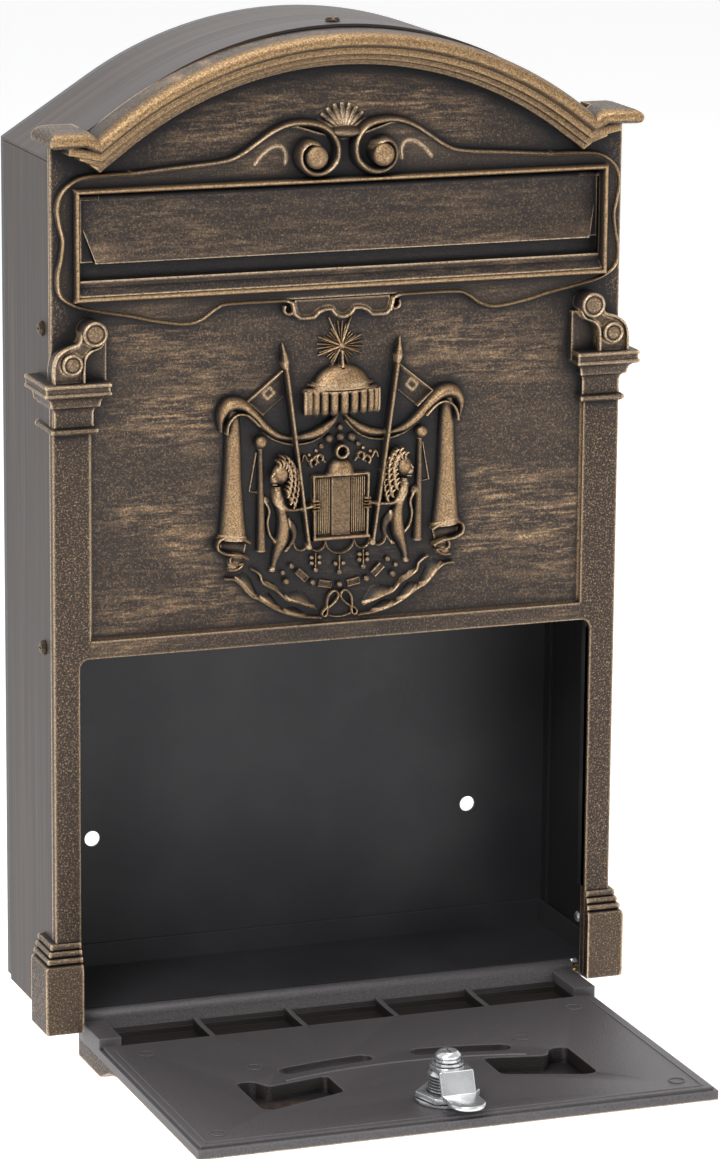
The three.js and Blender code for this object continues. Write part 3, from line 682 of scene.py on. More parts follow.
BRONZE = antique_bronze("antique_bronze", gilt=0.12)
GILT_BRONZE = antique_bronze(
    "antique_bronze_relief", streaks=0.3, front_plane=-3, wear=0.001, warm=0.7, painted_glint=0.4
)
CORNICE_BRONZE = antique_bronze(
    "antique_bronze_cornice", streaks=0.7, gilt=0.9, front_plane=-11.5, warm=1.0, painted_glint=0.2
)
SCROLL_BRONZE = antique_bronze("antique_bronze_scrolls", streaks=0.4, gilt=0.9, front_plane=-7, warm=0.7)
BRACKET_BRONZE = antique_bronze("antique_bronze_brackets", streaks=0.4, gilt=0.5, front_plane=-9.5)
FRAME_BRONZE = antique_bronze(
    "antique_bronze_frame", streaks=0.4, gilt=0.95, front_plane=-5.6, warm=0.9, painted_glint=0.25
)
FLAP_BRONZE = antique_bronze("antique_bronze_flap", streaks=0.6, gilt=0.0, wear=0.0007)
DOOR_FINISH = antique_bronze("door_finish", gilt=0.0, charcoal_inside=True)
BRUSHED = brushed_sheet("brushed_bronze_lacquer")
CHARCOAL = charcoal_coat("charcoal_powder_coat")
ZINC = bright_zinc("bright_zinc")
BRASS = plain_brass("plain_brass")
DARK_STEEL = bronzed_steel("bronzed_steel")


# ---------------------------------------------------------------------------
# Face casting
# ---------------------------------------------------------------------------
def crown_frames(ear_half, wrap=0.0):
    """Matrices along the cornice from the left ear over the arch to the right ear.

    u is the drop below the crown line and v how far the moulding stands proud. With wrap, the moulding
    also turns the ear's corner and runs that far back.
    """
    down = (0, 0, -1)
    left = []
    if wrap:
        left.append(basis(down, (-1, 0, 0), (0, -1, 0), (-ear_half, wrap, EAR_TOP)))
        left.append(basis(down, (-1, -1, 0), (1, -1, 0), (-ear_half, 0, EAR_TOP)))
        lean = math.radians(20)
        tilted = (-math.sin(lean), 0, -math.cos(lean))
        left.append(basis(tilted, (0, -1, 0), (1, 0, 0), (-VALLEY_X - 3.2, 0, EAR_TOP)))
    else:
        left.append(basis(down, (0, -1, 0), (1, 0, 0), (-ear_half, 0, EAR_TOP)))
    arch = []
    steps = 40
    for step in range(steps + 1):
        angle = math.radians(90 + CROWN_REACH - 2 * CROWN_REACH * step / steps)
        out = (math.cos(angle), math.sin(angle))
        origin = (CROWN_RADIUS * out[0], 0, CROWN_CENTRE + CROWN_RADIUS * out[1])
        inward = (-out[0], 0, -out[1])
        if step in (0, steps):
            side = 1 if step == 0 else -1
            mitre = math.radians(CROWN_REACH * 0.5)
            inward = (side * math.sin(mitre) * 0.6, 0, -1.08)
        arch.append(basis(inward, (0, -1, 0), (out[1], 0, -out[0]), origin))
    mirror = Matrix.Diagonal((-1, 1, 1, 1))
    right = [mirror @ matrix for matrix in reversed(left)]
    return left + arch + right


def moulding(low, high, front, back=-2.0, roll=0.9):
    """Ring of a small moulding with rounded corners between two drops."""
    return [
        (low, back),
        (low, front - roll),
        (low + roll * 0.35, front - roll * 0.25),
        (low + roll, front),
        (high - roll, front),
        (high - roll * 0.35, front - roll * 0.25),
        (high, front - roll),
        (high, back),
    ]


def cornice():
    """Big roll along the crown line with three smaller mouldings stepped back under it."""
    bm = bmesh.new()
    roll = [
        (0, -4.5), (0, 2), (0, 6.6), (0.5, 9.4), (1.6, 11.4), (3.0, 12.4), (4.6, 12.4),
        (5.7, 11.7), (6.3, 10.3), (6.4, 8.5), (6.4, -4.5),
    ]
    sweep(bm, roll, crown_frames(113.6, 14.7))
    for low, high, front, ear_half in (
        (5.2, 9.2, 9.4, 117.5),
        (8.3, 11.7, 6.9, 112.4),
        (10.8, 13.9, 4.4, 107.6),
    ):
        sweep(bm, moulding(low, high, front), crown_frames(ear_half))
    store("cornice", bm, CORNICE_BRONZE, "cabinet")


def face_plate():
    """Flat members of the casting: upper plate with the crest field, stiles and rail."""
    bm = bmesh.new()
    seam = 260
    shoulder = EAR_TOP - 3
    tuck = PLATE_HALF - 1.5
    upper = [(-tuck, 157), (tuck, 157), (tuck, seam), (PLATE_HALF, seam), (PLATE_HALF, shoulder)]
    upper += arc(0, CROWN_CENTRE, CROWN_RADIUS - 3, 90 - CROWN_REACH, 90 + CROWN_REACH, 32)
    upper += [(-PLATE_HALF, shoulder), (-PLATE_HALF, seam), (-tuck, seam)]
    raised(bm, upper, PLATE_BACK, FIELD, 0.35, opening=SLOT_OPENING)
    foot = -5
    head = 262
    corner = 4
    middle = DOORWAY_HALF - corner
    arch = [(-DOORWAY_HALF, foot)] + arc(-middle, DOORWAY_TOP - corner, corner, 180, 90, 6)
    arch += arc(middle, DOORWAY_TOP - corner, corner, 90, 0, 6) + [(DOORWAY_HALF, foot)]
    field = [(106.6, head), (106.6, 158.9), (-106.6, 158.9), (-106.6, head)]
    outer = [(PLATE_HALF, foot), (PLATE_HALF, head)]
    stiles = arch + outer + field + flip(reversed(outer), -1)
    raised(bm, stiles, 3.9, -0.5, 0.45)
    store("face_plate", bm, BRONZE, "cabinet", stands_for=("face_casting",))


def doorway_flange():
    """Return flange round the doorway, lugs for the door's pins, and the rim inside the sheets."""
    bm = bmesh.new()
    thick = 2.2
    lug = [(1.95, 0), (4, 0), (4, 4.6), (3.6, 5), (1.95, 5)]
    for side in (-1, 1):
        across = sorted((side * DOORWAY_HALF, side * (DOORWAY_HALF + thick)))
        block(bm, across, (0.5, 8.3), (34, DOORWAY_TOP + 2))
        block(bm, sorted((side * 116.6, side * 118.7)), (3, 18), (34, 350))
        turned(bm, lug, (side * 114.5 - 2.5, 9.5, -3.75), axis="x", steps=24)
    block(bm, (-DOORWAY_HALF - 1, DOORWAY_HALF + 1), (0.5, 8.3), (DOORWAY_TOP, DOORWAY_TOP + thick))
    roof_top = 404
    radius = 158
    frames = []
    steps = 32
    for step in range(steps + 1):
        angle = math.radians(123 - 66 * step / steps)
        out = (math.cos(angle), 0, math.sin(angle))
        origin = (radius * out[0], 0, roof_top - radius + radius * out[2])
        frames.append(basis((-out[0], 0, -out[2]), (0, 1, 0), (out[2], 0, -out[0]), origin))
    sweep(bm, [(1.3, 3), (1.3, 18), (3.5, 18), (3.5, 3)], frames)
    store("doorway_flange", bm, CHARCOAL, "cabinet")


PLAQUE_SIDE = [
    (90, 348.5), (104, 348.3), (112, 347), (118, 342.5), (120.1, 336), (119.2, 329), (117.9, 323),
    (118.6, 316), (120, 309), (119.2, 301.5), (114, 297.3), (105, 294.4), (90, 291.5), (80, 289), (67, 287),
    (60, 288.6), (54, 292.6), (48, 294.2), (24.5, 294.2),
]
SCROLL_RISE = [(90, 348.5), (70, 350), (52, 351.4), (44.5, 353.6), (37, 358.4), (30.5, 362.6), (23.4, 365.3)]
VOLUTE = [
    (16, 365.6), (8.6, 363.4), (4.2, 357.6), (4.5, 350.8), (9.4, 346.4), (15.4, 346.2), (19.6, 349.8),
    (19.9, 354.8), (17, 357.8), (13.4, 357), (12.2, 354.4),
]


def plaque():
    """Wavy surround of the letter slot with its pair of scrolls."""
    bm = bmesh.new()
    border = bmesh.new()
    scrolls = bmesh.new()
    right = flow([(0, 359), (10, 361.5)] + SCROLL_RISE[:0:-1], 3) + flow(PLAQUE_SIDE, 4)
    outline = right + flip(reversed(right[1:]), -1)
    raised(bm, outline, PLATE_BACK, PLAQUE, 0.3, 1, opening=SLOT_OPENING)
    edge_line = flow(PLAQUE_SIDE, 5)
    scroll_line = flow(SCROLL_RISE + VOLUTE, 6)
    width = [1.05, 1.1, 1.25, 1.6, 2.0, 2.1, 2.0, 2.0, 2.2]
    lift = [4.3, 4.3, 4.6, 5.6, 7.8, 9.6, 10.2, 10.2, 10.2]
    eye = [(0, 0), (4.7, 0), (4.7, 10.4), (4.4, 11.3), (3.7, 12), (2.2, 12.5), (0, 12.7)]
    window = [(25, 349.4), (24.6, 353), (26.4, 356.4), (30, 356.6), (34.6, 353.6), (38, 349.6)]
    for side in (-1, 1):
        bead(border, flip(edge_line, side), 1.05, 4.3)
        bead(scrolls, flip(scroll_line, side), width, lift)
        turned(scrolls, eye, (side * 14.2, FIELD, 352.6), axis="y")
        bead(bm, flow(flip(window, side), 4), 0.4, 0.6, base=PLAQUE + 0.05)
    store("slot_plaque", bm, BRONZE, "cabinet")
    store("slot_border", border, FRAME_BRONZE, "cabinet")
    store("slot_scrolls", scrolls, SCROLL_BRONZE, "cabinet")


def outward(corner):
    """Signs of the way out from the slot's middle at a corner."""
    return math.copysign(1, corner[0]), math.copysign(1, corner[1] - SLOT_MIDDLE)


def slot_frame():
    """Mitred bead round the letter slot."""
    bm = bmesh.new()
    half, low, high = 112.95, 299.35, 342.55
    rise = 7.4
    corners = [(-half, low), (half, low), (half, high), (-half, high)]
    profile = [
        (-1.15, -0.6), (-1.15, 0.7), (-0.8, 0.93), (-0.3, 1.0), (0.3, 1.0), (0.8, 0.93), (1.15, 0.7),
        (1.15, -0.6),
    ]
    edges = closed_ring(bm, [(-half - out, FIELD - rise * share, low - out) for out, share in profile])[1]
    for before, after in zip(corners, corners[1:] + corners[:1]):
        moved, edges = drawn_on(bm, edges)
        for vert in moved:
            out = (vert.co.x - before[0]) * outward(before)[0]
            vert.co.x = after[0] + out * outward(after)[0]
            vert.co.z = after[1] + out * outward(after)[1]
    store("slot_frame", bm, FRAME_BRONZE, "cabinet")


def slot_sill():
    """Sloped step inside the slot's lower edge and the upright strip behind it."""
    bm = bmesh.new()
    half = 111.9
    outline = [(0, 300.5), (-4.5, 300.5), (-4.3, 301.2), (1.5, 306.2), (1.5, 300.5)]
    face = bm.faces.new([bm.verts.new((-half, y, z)) for y, z in outline])
    geom = bmesh.ops.extrude_face_region(bm, geom=[face])["geom"]
    bmesh.ops.translate(bm, vec=(2 * half, 0, 0), verts=only(geom, bmesh.types.BMVert))
    block(bm, (-SLOT_OPENING[0], SLOT_OPENING[0]), (FIELD, PLATE_BACK), (306.2, 315), edge=0.3)
    store("slot_sill", bm, FLAP_BRONZE, "cabinet")


def shell_and_apron():
    """Fluted shell between the scrolls, and the tab and curls under the slot."""
    bm = bmesh.new()
    flutes = 9
    length = 11.5
    root = 361
    for index in range(flutes):
        angle = math.radians(90 + (index - flutes // 2) * 17)
        tip = (length * math.cos(angle), root + 0.5 + length * math.sin(angle))
        path = [(0, root), (tip[0] * 0.55, root + (tip[1] - root) * 0.55), tip]
        bead(bm, flow(path, 3), [0.6, 1.3, 1.5, 0.7], [2.8, 2.6, 1.6, 0.5])
    mound(bm, 0, 361.4, 9, 2.7, 8.6)
    half_tab = [(20.6, 288.4), (18.4, 286.6), (12.6, 286.6), (10.2, 288.9), (7.6, 289.8)]
    lower_edge = half_tab + arc(0, 291.6, 5.2, -20, -160, 8) + flip(reversed(half_tab), -1)
    raised(bm, [(-20.6, 294), (20.6, 294)] + lower_edge, PLATE_BACK, PLAQUE, 0.5)
    shoulder = [(24.5, 294.2), (21.6, 293)]
    rim = flip(shoulder, -1) + lower_edge[::-1] + shoulder[::-1]
    bead(bm, rim, 0.9, 2.2, base=-0.9)
    for side in (-1, 1):
        bead(bm, flip(arc(22.8, 290.4, 2.1, 100, 400, 14), side), 0.8, 3.4)
    store("shell_and_apron", bm, BRACKET_BRONZE, "cabinet")


def bracket(side):
    """S-scroll standing on a capital, with a button in each curl."""
    bm = bmesh.new()
    block(bm, sorted((side * 100.2, side * 112)), (-1.6, FIELD), (262, 283), edge=0.3)
    outer = [(111.6, 286), (112.8, 282.2), (117.6, 280.4), (121.6, 277.6), (123.2, 272.6), (123.2, 266.2)]
    inner = [(102.4, 284), (104.2, 280.8), (108.2, 279), (110.6, 276), (111, 271.6), (111, 266.2)]
    lines = [flip(flow(line, 6), side) for line in (outer, inner)]
    band(bm, lines[0], lines[1], 7.6, ring=FLAT_TOP)
    for line in lines:
        bead(bm, line, 0.7, 1.5, base=-5.9)
    button_face = [
        (0, 9.9), (0.3, 10.5), (0.8, 10.8), (1.2, 10.5), (1.4, 10.1), (1.7, 10.1), (2, 10.5), (2.5, 10.7),
    ]
    for x, z, radius, front in [(106.9, 286.2, 5.2, -9.6), (116.2, 274.2, 4.5, -9)]:
        profile = [(0, 0), (radius, 0)]
        profile += [(radius - inset, rise) for inset, rise in button_face]
        profile += [(0, 10.9)]
        turned(bm, profile, (side * x, front + 10.8, z), axis="y", steps=28)
    name = "bracket_left" if side < 0 else "bracket_right"
    store(name, bm, BRACKET_BRONZE, "cabinet")


def order_frames(side, inner, outer, back, inner_share, outer_share):
    """Matrices round three sides of a pilaster: u runs up and v stands proud of its core.

    inner and outer are the core's edges, and the shares say how much of v stands out past each of them.
    """
    up = (0, 0, 1)
    return [
        basis(up, (-side * inner_share, 0, 0), (0, -1, 0), (side * inner, FIELD + 0.6, 0)),
        basis(up, (-side * inner_share, -1, 0), (side, -1, 0), (side * inner, 0, 0)),
        basis(up, (side * outer_share, -1, 0), (side, 1, 0), (side * outer, 0, 0)),
        basis(up, (side * outer_share, 0, 0), (0, 1, 0), (side * outer, back, 0)),
    ]


def pilaster(side):
    """Shaft, capital and plinth at one side of the face."""
    bm = bmesh.new()
    capital = [
        (244.3, -2.5), (244.6, 1.9), (245.2, 3.0), (246.0, 3.5), (246.9, 3.3), (247.5, 2.4), (247.8, 1.5),
        (249, 1.3), (253.4, 1.3), (255.2, 1.9), (256.0, 3.0), (256.2, 3.9), (256.9, 4.3), (258.2, 4.5),
        (259.6, 5.2), (260.6, 6.4), (260.9, 7.6), (261.2, 8.7), (261.8, 9.2), (262.5, 9.1), (262.9, 8.5),
        (264.6, 8.5), (265, 9.1), (265.8, 9.2), (266.4, 8.6), (266.6, 7.6), (266.7, -2.5),
    ]
    sweep(bm, capital, order_frames(side, 106.5, 121, 20, 0.68, 0.744))
    plinth = [
        (-5.1, -2.5), (-5.1, 3.6), (-4.6, 4.2), (-3.8, 4.4), (22.6, 4.4), (23.6, 4.1), (24.0, 3.4),
        (24.2, 2.4), (24.7, 2.9), (25.2, 3.3), (26.4, 3.3), (26.9, 2.9), (27.2, 1.6), (27.7, 2.1),
        (28.2, 2.4), (29.2, 2.4), (29.8, 2), (30, 0.8), (30.5, 1.3), (31, 1.5), (32.2, 1.5), (32.8, 1.1),
        (33.3, -2.5),
    ]
    sweep(bm, plinth, order_frames(side, 111.9, 123.3, 17, 0.06, 1.0))
    name = "pilaster_left" if side < 0 else "pilaster_right"
    store(name, bm, BRONZE, "cabinet")


# ---------------------------------------------------------------------------
# Relief on the crest field: a draped canopy, a domed crown, a plain striped
# shield and a pair of standing beasts
# ---------------------------------------------------------------------------
def drapery(bm, side):
    """One side of the canopy: swag, shoulder, hanging cloth, gathers and the folds of the mantle."""
    inner = flow([(43.4, 250), (42.6, 236), (42.2, 222), (40.9, 206), (39.8, 196)], 5)
    outer = flow([(49.6, 250), (49.9, 236), (50.6, 222), (51.6, 208), (52.6, 197)], 5)
    band(bm, flip(outer, side), flip(inner, side), [3.2, 4.0, 4.4, 4.6])
    cuff = flow([
        (39.4, 195.2), (43.5, 197.4), (49, 198.2), (52.9, 196.8), (53.1, 193.4), (49.4, 191.2), (44, 190.4),
        (40.3, 188.6),
    ], 5)
    bead(bm, flip(cuff, side), [0.8, 0.9, 0.9, 0.9, 0.7], 4.6)
    tuck_top = [(40.2, 195.6), (46, 197), (52, 196.2)]
    tuck_foot = [(41.6, 190), (46.4, 190.6), (51.4, 192.6)]
    band(bm, flip(tuck_top, side), flip(tuck_foot, side), [1.4, 1.8, 1.4])
    lower = flow([
        (40.4, 188.6), (43, 190), (47, 190), (47.6, 187.4), (45, 186.2), (42.2, 186.6), (44.6, 184.4),
        (48.2, 184.2),
    ], 5)
    bead(bm, flip(lower, side), 0.7, 3.2)
    band(bm, flip([(40.8, 190), (42.4, 184.8)], side), flip([(48, 190), (48.4, 184.4)], side), 2.0)
    shoulder = flow([
        (20.5, 237), (27, 238.4), (33, 242.6), (38.5, 248.4), (43.5, 252.4), (48.6, 252.4), (51.6, 248),
        (51.4, 241.6),
    ], 6)
    width = [0.7, 1.6, 2.1, 2.4, 2.9, 3.2, 2.3, 0.7]
    bead(bm, flip(shoulder, side), width, [1.8, 3.4, 4.2, 5.2, 6.2, 6.2, 4.8, 2.2])
    lip = flow([(36, 243.6), (41, 248.2), (45.6, 248.8), (49, 245.6), (50, 241)], 5)
    bead(bm, flip(lip, side), 0.55, 2.0, base=-2.4)
    swag = flow([(0.8, 247), (4.4, 242.8), (9, 239.4), (14.5, 237.6), (21.5, 237)], 6)
    bead(bm, flip(swag, side), [0.8, 1.7, 2.3, 1.9, 0.8], [1.8, 3.8, 4.2, 3.6, 1.8])
    under = flow([(2, 243.4), (7, 238), (13, 235), (20.5, 234.4), (27.5, 236.4), (34, 240.6)], 5)
    bead(bm, flip(under, side), 0.6, 1.6)
    rim = [
        (49.9, 180.5), (45.4, 179.9), (42.2, 177.4), (39.8, 174.4), (37.2, 172), (34.8, 171), (31.6, 169),
        (28.3, 166.8), (24.8, 165), (21.2, 163.5), (17.7, 162.5), (13.6, 161.8), (8, 161.2),
    ]
    bead(bm, flip(flow(rim, 4), side), [0.5, 0.75, 0.75, 0.75, 0.6, 0.3], 2.6)
    hem = [
        (38.6, 184), (36.6, 182.9), (34.5, 181.1), (33.6, 178.2), (30.7, 176), (28.3, 174.7), (26.3, 173.2),
        (24.2, 171), (22.1, 169.5), (18.9, 168.4), (15.3, 167), (10.3, 165.4),
    ]
    bead(bm, flip(flow(hem, 4), side), [0.5, 0.7, 0.7, 0.7, 0.5, 0.25], 2.4)
    for lower_edge, peak in (
        (rim[1:6], (39.6, 182.2)),
        (rim[5:9], (30.4, 173.4)),
        (rim[8:12], (19.4, 166.6)),
        (hem[3:8], (28.8, 177.6)),
        (hem[7:12], (15.2, 173.2)),
    ):
        cloth_fold(bm, flip(lower_edge, side), (side * peak[0], peak[1]))


def cloth_fold(bm, hem, peak):
    """A fold that stands proud along its hem and dies out towards a peak above it."""
    edge = flow(hem, 4)
    middle = edge[len(edge) // 2]
    ends = 0.06
    upper = []
    for index, (x, z) in enumerate(edge):
        reach = ends + (1 - ends) * math.sin(math.pi * index / (len(edge) - 1))
        upper.append((x + (peak[0] - middle[0]) * reach, z + (peak[1] - middle[1]) * reach))
    band(bm, edge, upper, [0.8, 3.0, 3.4, 3.0, 0.8], ring=WEDGE)


def standard_pole(bm, side):
    """Flaring pole with a ball on top and a small pennant."""
    ball(bm, side * 34.8, 236.4, 2.8, base=0.4)
    pole = [(34.6, 234), (34.4, 220), (34.2, 205), (34, 191)]
    bead(bm, flip(pole, side), [1.2, 1.5, 1.9, 2.3], [2.2, 2.6, 2.9, 3.0])
    bead(bm, flip([(36, 232), (39, 216), (34.6, 215.4)], side), 0.35, 0.8)


def lance(bm, side):
    """Slanting lance with a leaf-shaped point and a blank banner."""
    shaft = [(24.4, 269), (19.1, 230), (13.8, 191.4)]
    bead(bm, flip(shaft, side), [1.25, 1.15, 0.95], [3.2, 3.4, 3.0], base=0.2)
    ball(bm, side * 13.8, 191.6, 1.4, base=-0.4)
    point = [(24.2, 266.6), (24.5, 269.2), (24.8, 272), (25.4, 276.6)]
    bead(bm, flip(point, side), [1.2, 1.9, 1.3, 0.1], [3.0, 3.6, 2.6, 0.4], base=0.2)
    banner = [(25.2, 265), (40, 253.2), (33.4, 247), (23.8, 255)]
    raised(bm, flip(banner, side), FIELD + 2, 0.6, 0.2, 1)
    bead(bm, flip(banner[:3], side), 0.45, 1.0, base=0.7)
    diamond = [(30.4, 258.6), (33.4, 256.2), (31.4, 253.8), (28.6, 256.2)]
    bead(bm, flip(diamond, side), 0.28, 0.4, base=0.7, closed=True)


def beast(bm, side):
    """A rampant beast holding the shield."""
    torso = flow([
        (27.6, 217.6), (27, 212.4), (25.4, 206.4), (24.7, 200.6), (25.4, 195), (27.2, 190), (28.4, 186),
        (28.9, 183),
    ], 5)
    width = [1.9, 2.7, 2.3, 3.0, 3.1, 2.1, 1.4, 1.1]
    bead(bm, flip(torso, side), width, [3.6, 4.4, 3.8, 4.4, 4.2, 3.0, 2.4, 2.0])
    thigh = flow([(23.4, 203), (20.4, 199.8), (19.6, 196), (21.2, 192.6), (23, 190.8)], 4)
    bead(bm, flip(thigh, side), [2.2, 2.1, 1.4, 1.0, 0.7], [2.0, 2.1, 1.7, 1.3, 1.1])
    arm = flow([(27.8, 216.2), (26.6, 211.4), (23.4, 207.9), (17.6, 207.5), (11.6, 208.7)], 5)
    bead(bm, flip(arm, side), [1.9, 1.8, 1.3, 0.9, 1.0], [5.0, 4.6, 3.8, 3.2, 4.2])
    for finger in range(4):
        z = 206.8 + finger * 1.25
        bead(bm, flip([(12.6, z), (9.8, z + 0.1)], side), 0.6, 4.4)
    tail = flow([(27.6, 194.4), (30.2, 197.4), (31.4, 202.6), (30.6, 207.4), (32.2, 211.2)], 5)
    bead(bm, flip(tail, side), [0.9, 0.8, 0.8, 0.8, 0.9], 2.2)
    ball(bm, side * 32.3, 212, 1.7)
    ball(bm, side * 26.6, 222.9, 3.5, base=-0.3, stretch=1.15)
    ball(bm, side * 29.5, 220.8, 1.7, base=-1.1)
    bead(bm, flip([(28, 224.9), (29.5, 223.5), (30.5, 222)], side), 0.55, 1.0, base=-2.3)
    bead(bm, flip([(28.2, 218.9), (30, 218.8)], side), 0.4, 0.9, base=-1.9)
    for strand, height in (
        ([(28.8, 226.8), (26, 227.6), (23.8, 226), (22.8, 222.6), (23, 218.8), (23.8, 215.2)], -1.9),
        ([(27.4, 229), (23.6, 228.6), (21.4, 225.4), (20.8, 221), (21.2, 216.4), (22.2, 212)], -1.0),
        ([(22.4, 227.6), (19.7, 223.8), (19, 219), (19.4, 214.2), (20.6, 210)], 0.0),
    ):
        for x, z in flow(strand, 2)[1:]:
            curl = [(x + 0.9, z + 1.5), (x - 0.4, z + 0.5), (x - 0.5, z - 0.9), (x + 0.3, z - 1.9)]
            bead(bm, flip(flow(curl, 2), side), [0.4, 0.95, 0.9, 0.3], 2.2, base=height)
    ball(bm, side * 29.2, 182.6, 1.5, stretch=0.7)
    ball(bm, side * 23.4, 190.4, 1.1, stretch=0.7)


def shield(bm):
    """Striped shield with a plain middle, a ring and dome on top and small beads round them."""
    outline = [(-11.6, 194.6), (11.6, 194.6), (12.2, 220.4), (-12.2, 220.4)]
    raised(bm, outline, FIELD + 2, 0.2, 0.4, 1)
    for side in (-1, 1):
        bead(bm, flip([(11.4, 195), (11.9, 220.8)], side), 0.75, 2.4, base=0.4)
        for rib in range(7):
            x = side * (4.9 + rib * 0.92)
            bead(bm, [(x, 196.6), (x, 219.4)], 0.27, 0.65, base=0.2)
    bead(bm, [(-12.2, 220.6), (12.2, 220.6)], 0.55, 2.0, base=0.4)
    bead(bm, [(-12.2, 194.6), (12.2, 194.6)], 1.0, 3.0, base=0.4)
    raised(bm, [(-4.1, 195.4), (4.1, 195.4), (4.1, 220), (-4.1, 220)], 0.2, -1.0, 0.5, 2)
    mound(bm, 0, 220.9, 6.3, 7.4, 5.2, foot=220.9)
    bead(bm, arc(0, 230.6, 2.5, 0, 345, 16), 0.9, 3.4, base=0.2, closed=True)
    ball(bm, 0, 240.2, 1.5)
    ball(bm, 0, 236.2, 1.9)
    for side in (-1, 1):
        for x, z, size in [(4.9, 235.8, 2.0), (7.9, 232.8, 1.2), (10.2, 231, 0.9), (13.2, 229.4, 0.8)]:
            ball(bm, side * x, z, size)
        for x, z in [(8.6, 228), (11.4, 226.4)]:
            curl = []
            for k in range(9):
                angle = math.radians(40 * k - 60)
                shrink = 1 - angle / 9
                curl.append((x + 1.7 * math.cos(angle) * shrink, z + 1.9 * math.sin(angle) * shrink))
            bead(bm, flip(curl, side), [0.7, 0.55, 0.4], 2.2)
        vine = flow([(6.4, 226), (9.4, 229.4), (13.2, 226.6), (15.4, 229.6), (16.6, 227)], 4)
        bead(bm, flip(vine, side), 0.45, 1.6)


def crown(bm):
    """Domed crown over a fringe of lobes that curve round a drum."""
    lobes = 11
    for index in range(lobes):
        share = (index - lobes // 2) / (lobes // 2)
        x = 15.6 * math.sin(share * math.radians(78)) / math.sin(math.radians(78))
        depth = 1.2 - 4.6 * math.cos(share * math.radians(70))
        half = 2.08 * math.cos(share * math.radians(50))
        lobe = [(x, 256.2), (x, 254), (x, 250), (x, 247.2), (x, 245.9)]
        width = [half * 0.9, half, half, half * 0.95, half * 0.3]
        bead(bm, lobe, width, [2.2, 2.4, 2.4, 2.0, 0.6], base=depth)
    mound(bm, 0, 256, 16.2, 2.2, 6.6)
    mound(bm, 0, 256.6, 12.9, 10.2, 7.4, foot=256.8)
    for z, half, lift in [(258.4, 14.2, 6.8), (256.2, 16, 7.2)]:
        curve = [(-half + 2 * half * k / 12, z) for k in range(13)]
        bead(bm, curve, 0.6, [lift * math.sqrt(1.02 - (k / 6 - 1) ** 2) for k in range(13)])
    bead(bm, [(0, 265.6), (0, 268.6), (0, 272.4)], [1.7, 1.0, 1.1], [4.8, 3.8, 3.6])


def star(bm):
    """Rays fanning from a point above the crown."""
    x, z = -0.3, 274.2
    broad_rays = 8
    fine_rays = 32
    rays = []
    for index in range(broad_rays):
        angle = math.radians(22.5 + 360 / broad_rays * index)
        length = 12.6 if index in (1, 2) else 10.2
        rays.append((angle, length, [0.75, 0.35], [3.0, 0.9]))
    for index in range(fine_rays):
        angle = math.radians(360 / fine_rays * index + 5.6)
        rays.append((angle, 8.6 + 1.6 * math.cos(4 * angle), [0.3, 0.36], [2.0, 0.7]))
    for angle, length, width, lift in rays:
        tip = (x + length * math.cos(angle), z + length * math.sin(angle))
        bead(bm, [(x, z), tip], width, lift)
    ball(bm, x, z, 1.5, base=-0.6)


def chains(bm):
    """Festoons, drops, links and the cord bow that hang under the shield."""
    festoons = [(0, 6.2, 5.6), (-9.7, 3.4, 4.0), (9.7, 3.4, 4.0), (-16.8, 3.1, 3.4), (16.8, 3.1, 3.4)]
    for middle, half, sag in festoons:
        path = [(middle + half * x, 193.4 + sag * z) for x, z in arc(0, 0, 1, 180, 360, 14)]
        bead(bm, path, 0.42, 2.0)
    for x, top in [(-10.4, 188.6), (0, 187), (10.4, 188.6)]:
        bead(bm, [(x, top), (x, top - 6)], 0.35, 1.6)
        ball(bm, x, top - 7.2, 1.15, base=0.8)
        for row in (1.9, 4.3) if x else (3.6,):
            for side in (-1, 1):
                ball(bm, x + side * 1.7, top - row, 0.95, base=0.9)
    ball(bm, 0, 174.6, 1.3, base=0.8)
    studs = [(11.7, 176.2, 1.35), (23.2, 177.4, 1.4), (24.6, 181.2, 1.0), (20.9, 183.8, 1.2)]
    for side in (-1, 1):
        for x, z, radius in studs:
            ball(bm, side * x, z, radius, base=0.8)
        for x, z, lean, lift in [(16.5, 179.8, 44, 1.6), (6.2, 175.2, 11, 0.7)]:
            along = Vector((math.cos(math.radians(lean)), math.sin(math.radians(lean)))) * 2.7
            across = Vector((-along.y, along.x)) * 0.45
            middle = Vector((x, z))
            ends = (middle - along, middle + along)
            link = [ends[0] - across, ends[1] - across, ends[1] + across, ends[0] + across]
            raised(bm, flip(link, side), FIELD + 2, FIELD - lift, 0.3, 1)
            bead(bm, flip(link, side), 0.28, 0.7, base=FIELD - lift + 0.1, closed=True)
        cord = flow([
            (0.5, 170.7), (1.8, 172.1), (3.8, 171.5), (5.2, 169.1), (5.4, 166.2), (5.3, 164), (5.7, 162.2),
            (6.9, 161.8), (7.6, 163), (6.5, 164.5), (4.4, 165.6), (2.1, 167.4), (0.7, 169.3),
        ], 4, closed=True)
        bead(bm, flip(cord, side), 0.5, 2.4, closed=True)
    bead(bm, arc(0, 172, 11, 242, 298, 10), 0.3, 1.4)


def crest():
    """The whole relief, as one piece."""
    bm = bmesh.new()
    for side in (-1, 1):
        drapery(bm, side)
        standard_pole(bm, side)
        lance(bm, side)
        beast(bm, side)
    shield(bm)
    crown(bm)
    star(bm)
    chains(bm)
    store("crest_relief", bm, GILT_BRONZE, "cabinet", angle=50)


# ---------------------------------------------------------------------------
# Sheet body, door, flap and lock
# ---------------------------------------------------------------------------
SAME_PLACE = 0.00001  # metres


def dress(node, material):
    """Gives a node that keeps its own mesh its material."""
    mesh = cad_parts[node].data
    mesh.materials.clear()
    mesh.materials.append(material)


